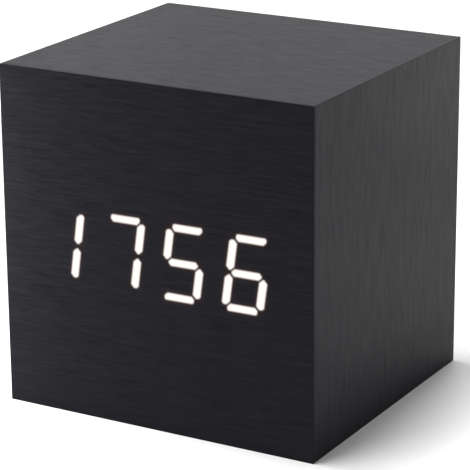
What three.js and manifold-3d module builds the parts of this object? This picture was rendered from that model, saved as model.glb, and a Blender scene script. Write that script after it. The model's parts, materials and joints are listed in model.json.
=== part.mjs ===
// Wooden cube digital clock: a hollow cube of veneered fibreboard with a four digit light display
// behind its front, closed at the rear by a plastic panel with three buttons, a power socket and a
// battery bay. Millimetres, +Z up, front towards -Y, origin at the centre of the underside.
import * as THREE from "three";
import { mergeVertices } from "three/addons/utils/BufferGeometryUtils.js";
import Module from "manifold-3d";

const wasm = await Module();
wasm.setup();

// Wooden case, whose width and height follow from the batteries and the display that it holds
const caseDepth = 54.5;
const veneerThickness = 0.35;
const boardThickness = 3;
const foldRadius = 0.3; // rounding of the veneer where it folds over an edge
const mitreGap = 0.1;
const glueLine = 0.05; // thickness of glue, and the gap between faces that rest on each other
const blockWidth = 8; // glue blocks in the rear corners, which take the rear screws
const blockHeight = 5;
const blockLength = 10;
const blockRoom = 0.45; // between the lower blocks and the battery bay
const bayEndRoom = 2.15; // from the battery bay's inner ends to the case's inner walls
const flangeEndRoom = 0.5; // from the display's flange to those walls, at least

// Light display
const figurePitch = 12; // from digit to digit
const segmentSpan = 6.48; // between the centre lines of a digit's left and right segments
const segmentRise = 6.08; // between the centre lines of its top, middle and bottom segments
const levelWidth = 1.38; // width of the level segments
const uprightWidth = 1.65; // width of the upright segments
const segmentGap = 0.3;
const tipFlat = 0.1; // half the width of a segment's blunt tip
const cornerFlat = 0.3; // how far a corner segment's blunt tip runs outwards
const segmentRounding = 0.24;
const slantDegrees = 8;
const litSegments = ["bc", "abc", "acdfg", "acdefg"]; // the time shown is 17 56
const colonRadius = 0.75;
const colonRise = 2.3;
const displayShiftX = -0.38; // the display's centre from the centre of the front
const displayShiftZ = 0.45;
const reflectorFaceGap = 0.15; // between the veneer and the reflector
const reflectorMargin = 1.2;
const reflectorWall = 0.9;
const wellDepth = 4.5;
const wellClearance = 0.05;
const guideRecess = 0.2; // an unlit guide's tip from the reflector's face
const guideBacking = 0.8;
const guideOverlap = 0.25; // backing beyond a digit's outline
const guideEndGap = 0.38; // from the colon's backing to its neighbours'
const dieSize = 1.1;
const dieHeight = 0.6;
const dieClearance = 0.1;
const ledBoardThickness = 1;
const windowClearance = 0.2;
const flangeEndReach = 1.5; // how far the flange stands out at the reflector's ends
const flangeEdgeReach = 4.2; // and above and below it
const flangeThickness = 1.5;
const flangeScrewInset = 2.1;

// Screws of the display's flange
const flangeShankRadius = 0.8;
const flangeShankLength = 3.9;
const flangeHeadRadius = 1.6;
const flangeHeadHeight = 1.1;
const screwClearance = 0.15; // round a screw's shank
const pilotEnd = 0.2; // empty hole beyond a screw's tip

// Rear panel
const panelThickness = 2;
const panelRecess = 1.2; // from the case's rear edge
const panelClearance = 0.15;
const panelCornerRadius = 0.5;
const rearShankRadius = 1.1;
const rearShankLength = 9.5;
const rearHeadRadius = 1.9;
const rearHeadHeight = 1;

// Batteries and their bay
const cellCount = 3;
const cellRadius = 5.25;
const cellLength = 44.5;
const cellGap = 0.5; // between cells
const cellEdge = 0.5; // bevel at a cell's ends
const nubRadius = 1.9;
const nubHeight = 0.9;
const cellHeadroom = 0.5; // between a cell and the door
const cellFloorGap = 0.15;
const cellSideGap = 0.45; // from the outer cells to the bay's long walls
const contactGap = 0.1;
const contactThickness = 0.4;
const contactWidth = 8.6;
const contactDepth = 8.4;
const springLength = 3.2;
const springBaseRadius = 3.3;
const springTipRadius = 2.1;
const springWireRadius = 0.35;
const springTurns = 2.5;
const tabWidth = 3;
const tabReach = 2.5; // how far a contact's tab stands out behind the bay
const tabSlotClearance = 0.2;
const bayWall = 1.2;
const ridgeWidth = 3;
const ridgeHeight = 2.2;
const ridgeEndGap = 4; // from a ridge's end to the bay's end wall

// Battery door
const doorThickness = 1.6;
const doorLedge = 0.7;
const doorClearance = 0.15;
const doorSeatGap = 0.05;
const hingePinRadius = 0.5;
const hingePinLength = 0.65;
const hingeHoleClearance = 0.1;
const latchWidth = 10;
const latchLength = 7;
const latchSlit = 0.7;
const gripCount = 4;
const gripPitch = 1.3;
const gripWidth = 0.6;
const gripHeight = 0.4;
const gripInset = 1; // from the latch's edges to its grip ribs

// Buttons and their switches
const buttonPitch = 8;
const buttonShiftX = 4.5; // the middle button from the centre of the panel
const capRadius = 2.5;
const capProud = 0.9;
const capFlangeRadius = 3.1;
const capFlangeThickness = 0.8;
const capEdge = 0.3;
const capClearance = 0.2;
const capSeatGap = 0.1;
const switchSize = 6;
const switchHeight = 3.5;
const plungerRadius = 1.6;
const plungerReach = 1.5; // above the switch's body
const plungerDepth = 0.8; // inside the switch's body
const plungerClearance = 0.2;
const switchBoreDepth = 1.7;
const switchLegSize = 0.7;
const switchLegHeight = 0.5;
const switchLegReach = 0.8;

// Circuit boards
const boardStock = 1.6;
const buttonBoardGap = 0.25; // to the upper glue blocks
const buttonBoardRoom = 0.7; // above and below the button board
const pegRadius = 0.7;
const pegShoulderRadius = 1.2;
const pegHeadRadius = 1.1;
const pegHeadHeight = 0.5;
const pegGap = 0.1; // to the switches above
const pegInset = 1.6; // from the button board's ends
const mainBoardWidth = 40;
const mainBoardHeight = 30;
const bossRadius = 2;
const bossHeight = 3;
const bossInsetX = 3;
const bossInsetZ = 3.5;
const boardShankRadius = 0.8;
const boardShankLength = 4.2;
const boardHeadRadius = 1.5;
const boardHeadHeight = 1;

// Power socket
const socketShiftX = -13;
const socketWidth = 7.5;
const socketHeight = 2.7;
const socketWall = 0.3;
const socketRounding = 0.8;
const socketMouthInset = 0.45;
const socketSlotClearance = 0.25;
const tongueWidth = 3.8;
const tongueThickness = 0.7;
const tongueLength = 4.4;
const tongueBaseLength = 1.6;

// Microphone and sound outlet, below the two upper screws
const microphoneRadius = 2.25;
const microphoneLength = 2.2;
const microphoneClearance = 0.1;
const microphoneHoleRadius = 0.8;
const ringWall = 0.8;
const ringLength = 2.8;
const ringRoom = 0.525; // above and below the ring
const grilleHoleRadius = 0.6;
const grilleSpread = 1.9;
const grilleRays = 6;

// Components on the main board, with their places from its centre
const chipLength = 12.8;
const chipWidth = 7.5;
const chipHeight = 2.3;
const chipShiftX = 3;
const chipShiftZ = 3.5;
const chipLegs = 10;
const chipLegPitch = 1.27;
const chipLegWidth = 0.42;
const chipLegReach = 1.3;
const chipLegThickness = 0.3;
const crystalRadius = 1;
const crystalLength = 6;
const crystalShiftX = 3;
const crystalShiftZ = -4.5;
const capacitorRadius = 2.5;
const capacitorHeight = 7;
const capacitorGroove = 0.3;
const capacitorShiftX = -10;
const capacitorShiftZ = -6.5;
const buzzerRadius = 4.5;
const buzzerHeight = 5.5;
const buzzerHoleRadius = 1;
const buzzerHoleDepth = 2;
const buzzerShiftX = -11;
const buzzerShiftZ = 3;
const sensorBeadRadius = 1.3;
const sensorStandoff = 4;
const sensorLegRadius = 0.25;
const sensorLegSpread = 0.7;
const sensorShiftX = 14;
const sensorShiftZ = -1;

// Cables between the boards and the battery contacts
const ribbonThickness = 0.8;
const displayRibbonWidth = 10;
const buttonRibbonWidth = 6;
const ribbonDrop = 11.5; // the display ribbon's end below the main board's centre
const ribbonLift = 12; // the button ribbon's end above it
const displayRibbonDrop = 3; // its other end below the display's centre
const ribbonReach = 8; // how strongly a ribbon first stands off its boards
const leadRadius = 0.6;
const leadReach = 4;
const leadInset = 2.5; // a lead's end from the main board's edge

// Counts and shares of curves
const roundSides = 20;
const smallSides = 10;
const wireSides = 6;
const leadSides = 8;
const cornerSteps = 2;
const springStepsPerTurn = 12;
const ribbonSteps = 16;
const leadSteps = 20;
const edgeLimitShare = 0.45; // the most of an edge that a rounded corner takes
const headFlatShare = 0.6; // flat top of a screw's domed head
const headSideShare = 0.45; // straight side of a screw's head
const recessLengthShare = 1.15;
const recessWidthShare = 0.28;
const recessDepthShare = 0.55;
const overrun = 0.5; // how far a cut reaches past the face that it opens
const mergeDistance = 0.0001; // below which two vertices are one

// Sizes and places that follow
const slope = Math.tan(THREE.MathUtils.degToRad(slantDegrees));
const slantReach = (segmentRise + levelWidth / 2) * slope;
const reflectorWidth =
  3 * figurePitch + segmentSpan + uprightWidth + 2 * (slantReach + reflectorMargin);
const reflectorHeight = 2 * segmentRise + levelWidth + 2 * reflectorMargin;
const flangeWidth = reflectorWidth + 2 * flangeEndReach;
const flangeHeight = reflectorHeight + 2 * flangeEdgeReach;
const cellPitch = 2 * cellRadius + cellGap;
const bayLength = cellLength + springLength + 2 * contactThickness + 4 * contactGap;
const bayHeight = cellCount * cellPitch - cellGap + 2 * cellSideGap;
const ringRadius = microphoneRadius + microphoneClearance + ringWall;
const buttonStripHeight = 2 * (ringRadius + ringRoom) + glueLine + blockHeight;
const screwStripHeight = blockHeight + glueLine + blockRoom;
const caseWall = veneerThickness + glueLine + boardThickness;
const innerWidth = Math.max(
  bayLength + 2 * bayEndRoom,
  flangeWidth + 2 * (flangeEndRoom + Math.abs(displayShiftX)),
);
const innerHeight = screwStripHeight + bayHeight + 2 * bayWall + buttonStripHeight;
const caseWidth = innerWidth + 2 * caseWall;
const caseHeight = innerHeight + 2 * caseWall;
const frontFaceY = -caseDepth / 2;
const rearEdgeY = caseDepth / 2;
const boardFrontY = frontFaceY + veneerThickness + glueLine;
const boardBackY = boardFrontY + boardThickness;
const panelFaceY = rearEdgeY - panelRecess;
const displayFaceY = frontFaceY + veneerThickness + reflectorFaceGap;
const guideFrontY = wellDepth + glueLine;
const guideBackY = guideFrontY + guideBacking;
const ledBoardFrontY = guideBackY + dieClearance + dieHeight;
const ledBoardBackY = ledBoardFrontY + ledBoardThickness;
const flangeFrontY = boardBackY + glueLine - displayFaceY;
const flangeBackY = flangeFrontY + flangeThickness;
const flangeScrewX = flangeWidth / 2 - flangeScrewInset;
const flangeScrewZ = flangeHeight / 2 - flangeScrewInset;
const blockX = innerWidth / 2 - glueLine - blockWidth / 2;
const blockZ = innerHeight / 2 - glueLine - blockHeight / 2;
const bayCentreZ = -innerHeight / 2 + screwStripHeight + bayWall + bayHeight / 2;
const bayTopZ = bayCentreZ + bayHeight / 2 + bayWall;
const cellY = -(doorThickness + cellHeadroom + cellRadius);
const bayFloorY = cellY - cellRadius - cellFloorGap;
const bayBackY = bayFloorY - bayWall;
const doorWidth = bayLength + 2 * (doorLedge - doorClearance);
const doorHeight = bayHeight + 2 * (doorLedge - doorClearance);
const hingeY = -doorThickness / 2;
const hingeZ = bayCentreZ - doorHeight / 2 + doorThickness / 2;
const buttonZ = bayTopZ + buttonStripHeight / 2;
const capFlangeY = -panelThickness - capSeatGap;
const plungerTipY = capFlangeY - capFlangeThickness - glueLine;
const switchTopY = plungerTipY - plungerReach;
const buttonBoardBackY = switchTopY - switchHeight - glueLine;
const buttonBoardFrontY = buttonBoardBackY - boardStock;
const buttonBoardWidth = 2 * (blockX - blockWidth / 2 - buttonBoardGap);
const buttonBoardHeight = buttonStripHeight - 2 * buttonBoardRoom;
const pegX = buttonBoardWidth / 2 - pegInset;
const pegZ = buttonZ - switchSize / 2 - pegShoulderRadius - pegGap;
const mainBoardBackY = bayBackY - bossHeight - glueLine;
const mainBoardFrontY = mainBoardBackY - boardStock;
const sideHoleX = blockX;
const sideHoleZ = bayTopZ + ringRoom + ringRadius;
const contactX = bayLength / 2 - contactGap - contactThickness / 2;
const bossX = mainBoardWidth / 2 - bossInsetX;
const bossZ = mainBoardHeight / 2 - bossInsetZ;

// Finishes
const finish = (color, roughness, metalness = 0) =>
  new THREE.MeshStandardMaterial({ color, roughness, metalness });
const blackVeneer = finish(0x2b2a2e, 0.55);
const fibreboard = finish(0x94744f, 0.9);
const blackPlastic = finish(0x1d1d1f, 0.5);
const doorPlastic = finish(0x222224, 0.5);
const buttonPlastic = finish(0x2a2a2c, 0.4);
const reflectorPlastic = finish(0x3a3a3c, 0.6);
const lightGuide = finish(0xfffaf6, 0.3);
const circuitBoard = finish(0x1f5a34, 0.5);
const platedSteel = finish(0xb8b8bc, 0.3, 1);
const blackenedSteel = finish(0x3c3c40, 0.4, 1);
const cellSleeve = finish(0x4a6c8c, 0.35, 0.6);
const chipResin = finish(0x232325, 0.6);
const insulator = finish(0x151517, 0.6);
const redWire = finish(0xb02820, 0.5);
const blackWire = finish(0x1a1a1c, 0.5);
const greyRibbon = finish(0x8f9297, 0.6);

// A closed geometry as a solid that can be cut and joined.
function solidOf(geometry) {
  const plain = geometry.index ? geometry.toNonIndexed() : geometry.clone();
  plain.deleteAttribute("normal");
  plain.deleteAttribute("uv");
  const merged = mergeVertices(plain, mergeDistance);
  return new wasm.Manifold(
    new wasm.Mesh({
      numProp: 3,
      vertProperties: merged.attributes.position.array,
      triVerts: new Uint32Array(merged.index.array),
    }),
  );
}

function geometryOf(solid) {
  const mesh = solid.getMesh();
  const geometry = new THREE.BufferGeometry();
  geometry.setAttribute("position", new THREE.BufferAttribute(mesh.vertProperties, 3));
  geometry.setIndex(new THREE.BufferAttribute(mesh.triVerts, 1));
  const flat = geometry.toNonIndexed();
  flat.computeVertexNormals();
  return flat;
}

const join = (...pieces) =>
  geometryOf(pieces.map(solidOf).reduce((whole, piece) => whole.add(piece)));
const cut = (body, ...tools) =>
  geometryOf(tools.map(solidOf).reduce((rest, tool) => rest.subtract(tool), solidOf(body)));

// A prism whose outline lies in the XZ plane, from y0 to y1.
function alongY(outline, y0, y1) {
  return new THREE.ExtrudeGeometry(outline, { depth: y1 - y0, bevelEnabled: false })
    .rotateX(Math.PI / 2)
    .translate(0, y1, 0);
}

// A prism whose outline lies in the YZ plane, centred on x.
function alongX(outline, length, x = 0) {
  const turn = new THREE.Matrix4().makeBasis(
    new THREE.Vector3(0, 1, 0),
    new THREE.Vector3(0, 0, 1),
    new THREE.Vector3(1, 0, 0),
  );
  return new THREE.ExtrudeGeometry(outline, { depth: length, bevelEnabled: false })
    .applyMatrix4(turn)
    .translate(x - length / 2, 0, 0);
}

const box = (width, depth, height, x = 0, y = 0, z = 0) =>
  new THREE.BoxGeometry(width, depth, height).translate(x, y, z);

// A round bar along Y from y0 to y1.
const rod = (radius, y0, y1, x = 0, z = 0, sides = smallSides) =>
  new THREE.CylinderGeometry(radius, radius, y1 - y0, sides).translate(x, (y0 + y1) / 2, z);

const point = (x, y) => new THREE.Vector2(x, y);

// A closed outline through the given corners, each eased by a short curve.
function eased(corners, radius) {
  const points = [];
  corners.forEach((corner, i) => {
    const before = corners.at(i - 1);
    const after = corners[(i + 1) % corners.length];
    const towards = (other) => {
      const length = corner.distanceTo(other);
      return corner.clone().lerp(other, Math.min(radius / length, edgeLimitShare));
    };
    const curve = new THREE.QuadraticBezierCurve(towards(before), corner, towards(after));
    points.push(...curve.getPoints(cornerSteps));
  });
  return new THREE.Shape(points);
}

const rectangle = (width, height, x = 0, z = 0) => [
  point(x - width / 2, z - height / 2),
  point(x + width / 2, z - height / 2),
  point(x + width / 2, z + height / 2),
  point(x - width / 2, z + height / 2),
];
const plainRectangle = (...sizes) => new THREE.Shape(rectangle(...sizes));

function circle(x, z, radius, sides = smallSides) {
  const corners = Array.from({ length: sides }, (_, i) => {
    const angle = (2 * Math.PI * i) / sides;
    return point(x + radius * Math.cos(angle), z + radius * Math.sin(angle));
  });
  return new THREE.Shape(corners);
}

// An outline with openings, each given as an outline of its own.
function pierced(outline, openings) {
  outline.holes.push(...openings.map((opening) => new THREE.Path(opening.getPoints())));
  return outline;
}

function add(group, name, geometry, material, x = 0, y = 0, z = 0) {
  const mesh = new THREE.Mesh(geometry, material);
  mesh.name = name;
  mesh.position.set(x, y, z);
  group.add(mesh);
  return mesh;
}

// A screw with a domed head and a cross recess. Its head rests on y = 0 and its tip points to -Y.
function screw(shankRadius, shankLength, headRadius, headHeight) {
  const profile = [
    point(0, -shankLength),
    point(shankRadius, shankRadius - shankLength),
    point(shankRadius, 0),
    point(headRadius, 0),
    point(headRadius, headHeight * headSideShare),
    point(headRadius * headFlatShare, headHeight),
    point(0, headHeight),
  ];
  const length = headRadius * recessLengthShare;
  const width = headRadius * recessWidthShare;
  const depth = headHeight * recessDepthShare + overrun;
  const y = headHeight + overrun - depth / 2;
  return cut(
    new THREE.LatheGeometry(profile, smallSides),
    box(length, depth, width, 0, y, 0),
    box(width, depth, length, 0, y, 0),
  );
}

// Display outlines, drawn upright and then slanted. The display's centre is the origin.
const slanted = (u, v) => point(u + v * slope, v);
const levelSegments = { a: 1, g: 0, d: -1 };
const uprightSegments = { b: [1, 1], c: [1, -1], e: [-1, -1], f: [-1, 1] };
const segmentNames = [...Object.keys(levelSegments), ...Object.keys(uprightSegments)];
const digitCentres = [0, 1, 2, 3].map((i) => (i - 3 / 2) * figurePitch);

// One end of a segment, from its inner edge round its tip to its outer edge, cut at 45 degrees.
function segmentEnd(reach, half, grow, atCorner) {
  const tip = reach - (segmentGap / 2 - grow) * Math.SQRT2;
  const outer = atCorner ? cornerFlat : tipFlat;
  const side = half + grow;
  const shoulder = atCorner ? tip - tipFlat - (side - outer) : tip - side;
  return [
    [tip - side, -side],
    [tip - tipFlat, -tipFlat],
    [tip - tipFlat, outer],
    [shoulder, side],
  ];
}

function segmentCorners(name, centre, grow, x = 0, z = 0) {
  const level = name in levelSegments;
  const [sideways, upwards] = level ? [0, levelSegments[name]] : uprightSegments[name];
  const reach = level ? segmentSpan / 2 : segmentRise / 2;
  const half = level ? levelWidth / 2 : uprightWidth / 2;
  const atCorner = level ? upwards !== 0 : true;
  const far = segmentEnd(reach, half, grow, atCorner);
  const near = segmentEnd(reach, half, grow, level && atCorner).map(([s, t]) => [-s, t]);
  const corners = [...far, ...near.reverse()].map(([s, t]) =>
    level
      ? slanted(s, upwards * segmentRise + (upwards || 1) * t)
      : slanted((sideways * segmentSpan) / 2 + sideways * t, upwards * (segmentRise / 2 + s)),
  );
  return corners.map((corner) => corner.add(point(centre + x, z)));
}

function segmentCentre(name, centre) {
  const [sideways, upwards] =
    name in levelSegments ? [0, levelSegments[name] * 2] : uprightSegments[name];
  return slanted((sideways * segmentSpan) / 2, (upwards * segmentRise) / 2).add(point(centre, 0));
}

const colonCentres = [colonRise, -colonRise].map((v) => slanted(0, v));
const isLit = (digit, name) => litSegments[digit].includes(name);
const litOutlines = (digit, grow, x = 0, z = 0) =>
  segmentNames
    .filter((name) => isLit(digit, name))
    .map((name) => eased(segmentCorners(name, digitCentres[digit], grow, x, z), segmentRounding));

// The four sides are one folded strip: its boards meet in mitres and its veneer runs round them.
function buildCase() {
  const group = new THREE.Group();
  group.position.set(0, 0, caseHeight / 2);
  const shell = eased(rectangle(caseWidth, caseHeight), foldRadius);
  const windows = digitCentres.flatMap((_, digit) =>
    litOutlines(digit, wellClearance, displayShiftX, displayShiftZ),
  );
  const front = alongY(pierced(shell.clone(), windows), frontFaceY, frontFaceY + veneerThickness);
  add(group, "front_veneer", front, blackVeneer);

  const lining = plainRectangle(caseWidth - 2 * veneerThickness, caseHeight - 2 * veneerThickness);
  const wrap = alongY(pierced(shell.clone(), [lining]), boardFrontY, rearEdgeY);
  add(group, "side_veneer", wrap, blackVeneer);

  const outerHalfWidth = caseWidth / 2 - veneerThickness - glueLine;
  const outerHalfHeight = caseHeight / 2 - veneerThickness - glueLine;
  // A mitred board outline, in its own frame: across is along its outer edge, out is its normal.
  const mitred = (halfLength, distance, place) =>
    new THREE.Shape([
      place(mitreGap - halfLength, distance),
      place(halfLength - mitreGap, distance),
      place(halfLength - mitreGap - boardThickness, distance - boardThickness),
      place(mitreGap + boardThickness - halfLength, distance - boardThickness),
    ]);
  const boards = {
    top_board: mitred(outerHalfWidth, outerHalfHeight, (s, t) => point(s, t)),
    bottom_board: mitred(outerHalfWidth, outerHalfHeight, (s, t) => point(s, -t)),
    right_board: mitred(outerHalfHeight, outerHalfWidth, (s, t) => point(t, s)),
    left_board: mitred(outerHalfHeight, outerHalfWidth, (s, t) => point(-t, s)),
  };
  for (const [name, outline] of Object.entries(boards)) {
    add(group, name, alongY(outline, boardFrontY, rearEdgeY), fibreboard);
  }

  const window = plainRectangle(
    reflectorWidth + 2 * windowClearance,
    reflectorHeight + 2 * windowClearance,
    displayShiftX,
    displayShiftZ,
  );
  const panel = plainRectangle(innerWidth - 2 * glueLine, innerHeight - 2 * glueLine);
  const pilotY = boardBackY + glueLine + flangeThickness - flangeShankLength - pilotEnd;
  const pilots = corners(flangeScrewX, flangeScrewZ).map(([x, z]) =>
    rod(
      flangeShankRadius + screwClearance,
      pilotY,
      boardBackY + overrun,
      x + displayShiftX,
      z + displayShiftZ,
    ),
  );
  const frontBoard = cut(alongY(pierced(panel, [window]), boardFrontY, boardBackY), ...pilots);
  add(group, "front_board", frontBoard, fibreboard);

  const blockEndY = panelFaceY - panelThickness - glueLine;
  const bore = rearShankRadius + screwClearance;
  const block = pierced(plainRectangle(blockWidth, blockHeight), [circle(0, 0, bore)]);
  corners(blockX, blockZ).forEach(([x, z], i) => {
    const geometry = alongY(block, blockEndY - blockLength, blockEndY);
    add(group, `corner_block_${i + 1}`, geometry, fibreboard, x, 0, z);
  });
  return group;
}

// The four places at plus and minus x and z, from the lower left on.
function corners(x, z) {
  return [
    [-x, -z],
    [x, -z],
    [-x, z],
    [x, z],
  ];
}

// The display: a reflector with one well per segment, clear light guides and a board of dies.
function buildDisplay() {
  const group = new THREE.Group();
  group.position.set(displayShiftX, displayFaceY, caseHeight / 2 + displayShiftZ);
  const wells = digitCentres.flatMap((centre) =>
    segmentNames.map((name) => new THREE.Shape(segmentCorners(name, centre, wellClearance))),
  );
  const colonWells = colonCentres.map((c) => circle(c.x, c.y, colonRadius + wellClearance));
  const block = plainRectangle(reflectorWidth, reflectorHeight);
  const pocketWidth = reflectorWidth - 2 * reflectorWall;
  const pocketHeight = reflectorHeight - 2 * reflectorWall;
  const pocket = plainRectangle(pocketWidth, pocketHeight);
  const rim = pierced(plainRectangle(reflectorWidth, reflectorHeight), [pocket]);
  const screwHoles = corners(flangeScrewX, flangeScrewZ).map(([x, z]) =>
    circle(x, z, flangeShankRadius + screwClearance),
  );
  const flange = pierced(plainRectangle(flangeWidth, flangeHeight), [pocket, ...screwHoles]);
  const reflector = join(
    alongY(pierced(block, [...wells, ...colonWells]), 0, wellDepth),
    alongY(rim, wellDepth - overrun, ledBoardBackY),
    alongY(flange, flangeFrontY, flangeBackY),
  );
  add(group, "display_reflector", reflector, reflectorPlastic);

  const litTipY = -reflectorFaceGap - veneerThickness;
  const rootY = guideFrontY + guideBacking / 2;
  const halfBacking = segmentSpan / 2 + uprightWidth / 2 + guideOverlap;
  const backingRise = segmentRise + levelWidth / 2 + guideOverlap;
  const halfColonBacking = figurePitch / 2 - halfBacking - guideEndGap;
  const slantedPlate = (centre, half) =>
    new THREE.Shape(
      [
        slanted(-half, -backingRise),
        slanted(half, -backingRise),
        slanted(half, backingRise),
        slanted(-half, backingRise),
      ].map((corner) => corner.add(point(centre, 0))),
    );
  digitCentres.forEach((centre, digit) => {
    const unlit = segmentNames
      .filter((name) => !isLit(digit, name))
      .map((name) => new THREE.Shape(segmentCorners(name, centre, 0)))
      .map((outline) => alongY(outline, guideRecess, rootY));
    const lit = litOutlines(digit, 0).map((outline) => alongY(outline, litTipY, rootY));
    const backing = alongY(slantedPlate(centre, halfBacking), guideFrontY, guideBackY);
    add(group, `digit_${digit + 1}_light_guide`, join(backing, ...lit, ...unlit), lightGuide);
  });
  const colon = join(
    alongY(slantedPlate(0, halfColonBacking), guideFrontY, guideBackY),
    ...colonCentres.map((c) => rod(colonRadius, guideRecess, rootY, c.x, c.y)),
  );
  add(group, "colon_light_guide", colon, lightGuide);

  const dieCentres = [
    ...digitCentres.flatMap((centre) => segmentNames.map((name) => segmentCentre(name, centre))),
    ...colonCentres,
  ];
  const dies = dieCentres.map((c) =>
    box(dieSize, dieHeight + ledBoardThickness / 2, dieSize, c.x, 0, c.y).translate(
      0,
      ledBoardFrontY - dieHeight / 2 + ledBoardThickness / 4,
      0,
    ),
  );
  const boardOutline = plainRectangle(pocketWidth - 2 * glueLine, pocketHeight - 2 * glueLine);
  const ledBoard = join(alongY(boardOutline, ledBoardFrontY, ledBoardBackY), ...dies);
  add(group, "led_board", ledBoard, circuitBoard);

  corners(flangeScrewX, flangeScrewZ).forEach(([x, z], i) => {
    const geometry = screw(
      flangeShankRadius,
      flangeShankLength,
      flangeHeadRadius,
      flangeHeadHeight,
    );
    const y = flangeBackY + glueLine;
    add(group, `display_screw_${i + 1}`, geometry, blackenedSteel, x, y, z);
  });
  return group;
}

// The rear panel, whose battery bay, board pegs and microphone ring are moulded in one piece.
function rearPanelGeometry(buttonXs) {
  const plateWidth = innerWidth - 2 * panelClearance;
  const plateHeight = innerHeight - 2 * panelClearance;
  const grille = [
    circle(-sideHoleX, sideHoleZ, grilleHoleRadius),
    ...Array.from({ length: grilleRays }, (_, i) => {
      const angle = (2 * Math.PI * i) / grilleRays;
      return circle(
        grilleSpread * Math.cos(angle) - sideHoleX,
        sideHoleZ + grilleSpread * Math.sin(angle),
        grilleHoleRadius,
      );
    }),
  ];
  const socketSlot = eased(
    rectangle(
      socketWidth + 2 * socketSlotClearance,
      socketHeight + 2 * socketSlotClearance,
      socketShiftX,
      buttonZ,
    ),
    socketRounding,
  );
  const plate = pierced(eased(rectangle(plateWidth, plateHeight), panelCornerRadius), [
    plainRectangle(bayLength, bayHeight, 0, bayCentreZ),
    ...buttonXs.map((x) => circle(x, buttonZ, capRadius + capClearance, roundSides)),
    socketSlot,
    circle(sideHoleX, sideHoleZ, microphoneHoleRadius),
    ...grille,
    ...corners(blockX, blockZ).map(([x, z]) => circle(x, z, rearShankRadius + screwClearance)),
  ]);
  const bayOuter = () =>
    plainRectangle(bayLength + 2 * bayWall, bayHeight + 2 * bayWall, 0, bayCentreZ);
  const walls = pierced(bayOuter(), [plainRectangle(bayLength, bayHeight, 0, bayCentreZ)]);
  const ridgeZs = [-1, 1].map((side) => bayCentreZ + (side * cellPitch) / 2);
  const ridges = ridgeZs.map((z) =>
    alongX(
      new THREE.Shape([
        point(bayFloorY - bayWall / 2, z - ridgeWidth / 2),
        point(bayFloorY, z - ridgeWidth / 2),
        point(bayFloorY + ridgeHeight, z),
        point(bayFloorY, z + ridgeWidth / 2),
        point(bayFloorY - bayWall / 2, z + ridgeWidth / 2),
      ]),
      bayLength - 2 * ridgeEndGap,
    ),
  );
  const pegEndY = buttonBoardFrontY - glueLine - pegHeadHeight;
  const pegs = [-pegX, pegX].flatMap((x) => [
    rod(pegShoulderRadius, buttonBoardBackY + glueLine, -panelThickness / 2, x, pegZ),
    rod(pegRadius, pegEndY, -panelThickness / 2, x, pegZ),
    rod(pegHeadRadius, pegEndY, buttonBoardFrontY - glueLine, x, pegZ),
  ]);
  const ring = pierced(circle(0, 0, ringRadius, roundSides), [
    circle(0, 0, ringRadius - ringWall, roundSides),
  ]);
  const ringBody = alongY(ring, -panelThickness - ringLength, -panelThickness / 2).translate(
    sideHoleX,
    0,
    sideHoleZ,
  );
  const bosses = bossPlaces().map(([x, z]) =>
    rod(bossRadius, mainBoardBackY + glueLine, bayBackY + bayWall / 2, x, z),
  );
  const pilots = bossPlaces().map(([x, z]) =>
    rod(
      boardShankRadius + screwClearance,
      mainBoardBackY - overrun,
      mainBoardFrontY - glueLine + boardShankLength + pilotEnd,
      x,
      z,
    ),
  );
  const rebate = alongY(
    plainRectangle(bayLength + 2 * doorLedge, bayHeight + 2 * doorLedge, 0, bayCentreZ),
    -doorThickness - doorSeatGap,
    overrun,
  );
  const hingeHole = new THREE.CylinderGeometry(
    hingePinRadius + hingeHoleClearance,
    hingePinRadius + hingeHoleClearance,
    doorWidth + 2 * (hingePinLength + doorClearance),
    smallSides,
  )
    .rotateZ(Math.PI / 2)
    .translate(0, hingeY, hingeZ);
  const tabSlots = tabPlaces().map(([x, z]) =>
    box(
      contactThickness + 2 * tabSlotClearance,
      bayWall + 2 * overrun,
      tabWidth + 2 * tabSlotClearance,
      x,
      bayBackY + bayWall / 2,
      z,
    ),
  );
  const moulding = join(
    alongY(plate, -panelThickness, 0),
    alongY(walls, bayFloorY - bayWall / 2, -panelThickness / 2),
    alongY(bayOuter(), bayBackY, bayFloorY),
    ...ridges,
    ...pegs,
    ringBody,
    ...bosses,
  );
  return cut(moulding, rebate, hingeHole, ...tabSlots, ...pilots);
}

// Places of the main board's two bosses, and of the two contact tabs behind the bay.
const bossPlaces = () => [
  [-bossX, bayCentreZ - bossZ],
  [bossX, bayCentreZ + bossZ],
];
const tabPlaces = () => [
  [-contactX, bayCentreZ + cellPitch],
  [contactX, bayCentreZ - cellPitch],
];

// The battery door turns on two pins at its lower edge and has a springy latch at its upper edge.
function batteryDoorGeometry() {
  const radius = doorThickness / 2;
  const upperZ = bayCentreZ + doorHeight / 2;
  const plate = box(
    doorWidth,
    doorThickness,
    doorHeight - radius,
    0,
    -radius,
    (hingeZ + upperZ) / 2,
  );
  const roundEdge = new THREE.CylinderGeometry(radius, radius, doorWidth, roundSides)
    .rotateZ(Math.PI / 2)
    .translate(0, hingeY, hingeZ);
  const pins = new THREE.CylinderGeometry(
    hingePinRadius,
    hingePinRadius,
    doorWidth + 2 * hingePinLength,
    smallSides,
  )
    .rotateZ(Math.PI / 2)
    .translate(0, hingeY, hingeZ);
  const grips = Array.from({ length: gripCount }, (_, i) =>
    box(
      latchWidth - 2 * gripInset,
      gripHeight + doorThickness / 2,
      gripWidth,
      0,
      (gripHeight - doorThickness / 2) / 2,
      upperZ - gripInset - gripWidth / 2 - i * gripPitch,
    ),
  );
  const slits = [-1, 1].map((side) =>
    box(
      latchSlit,
      doorThickness + 2 * overrun,
      latchLength + overrun,
      (side * (latchWidth + latchSlit)) / 2,
      -radius,
      upperZ + (overrun - latchLength) / 2,
    ),
  );
  return cut(join(plate, roundEdge, pins, ...grips), ...slits);
}

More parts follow.
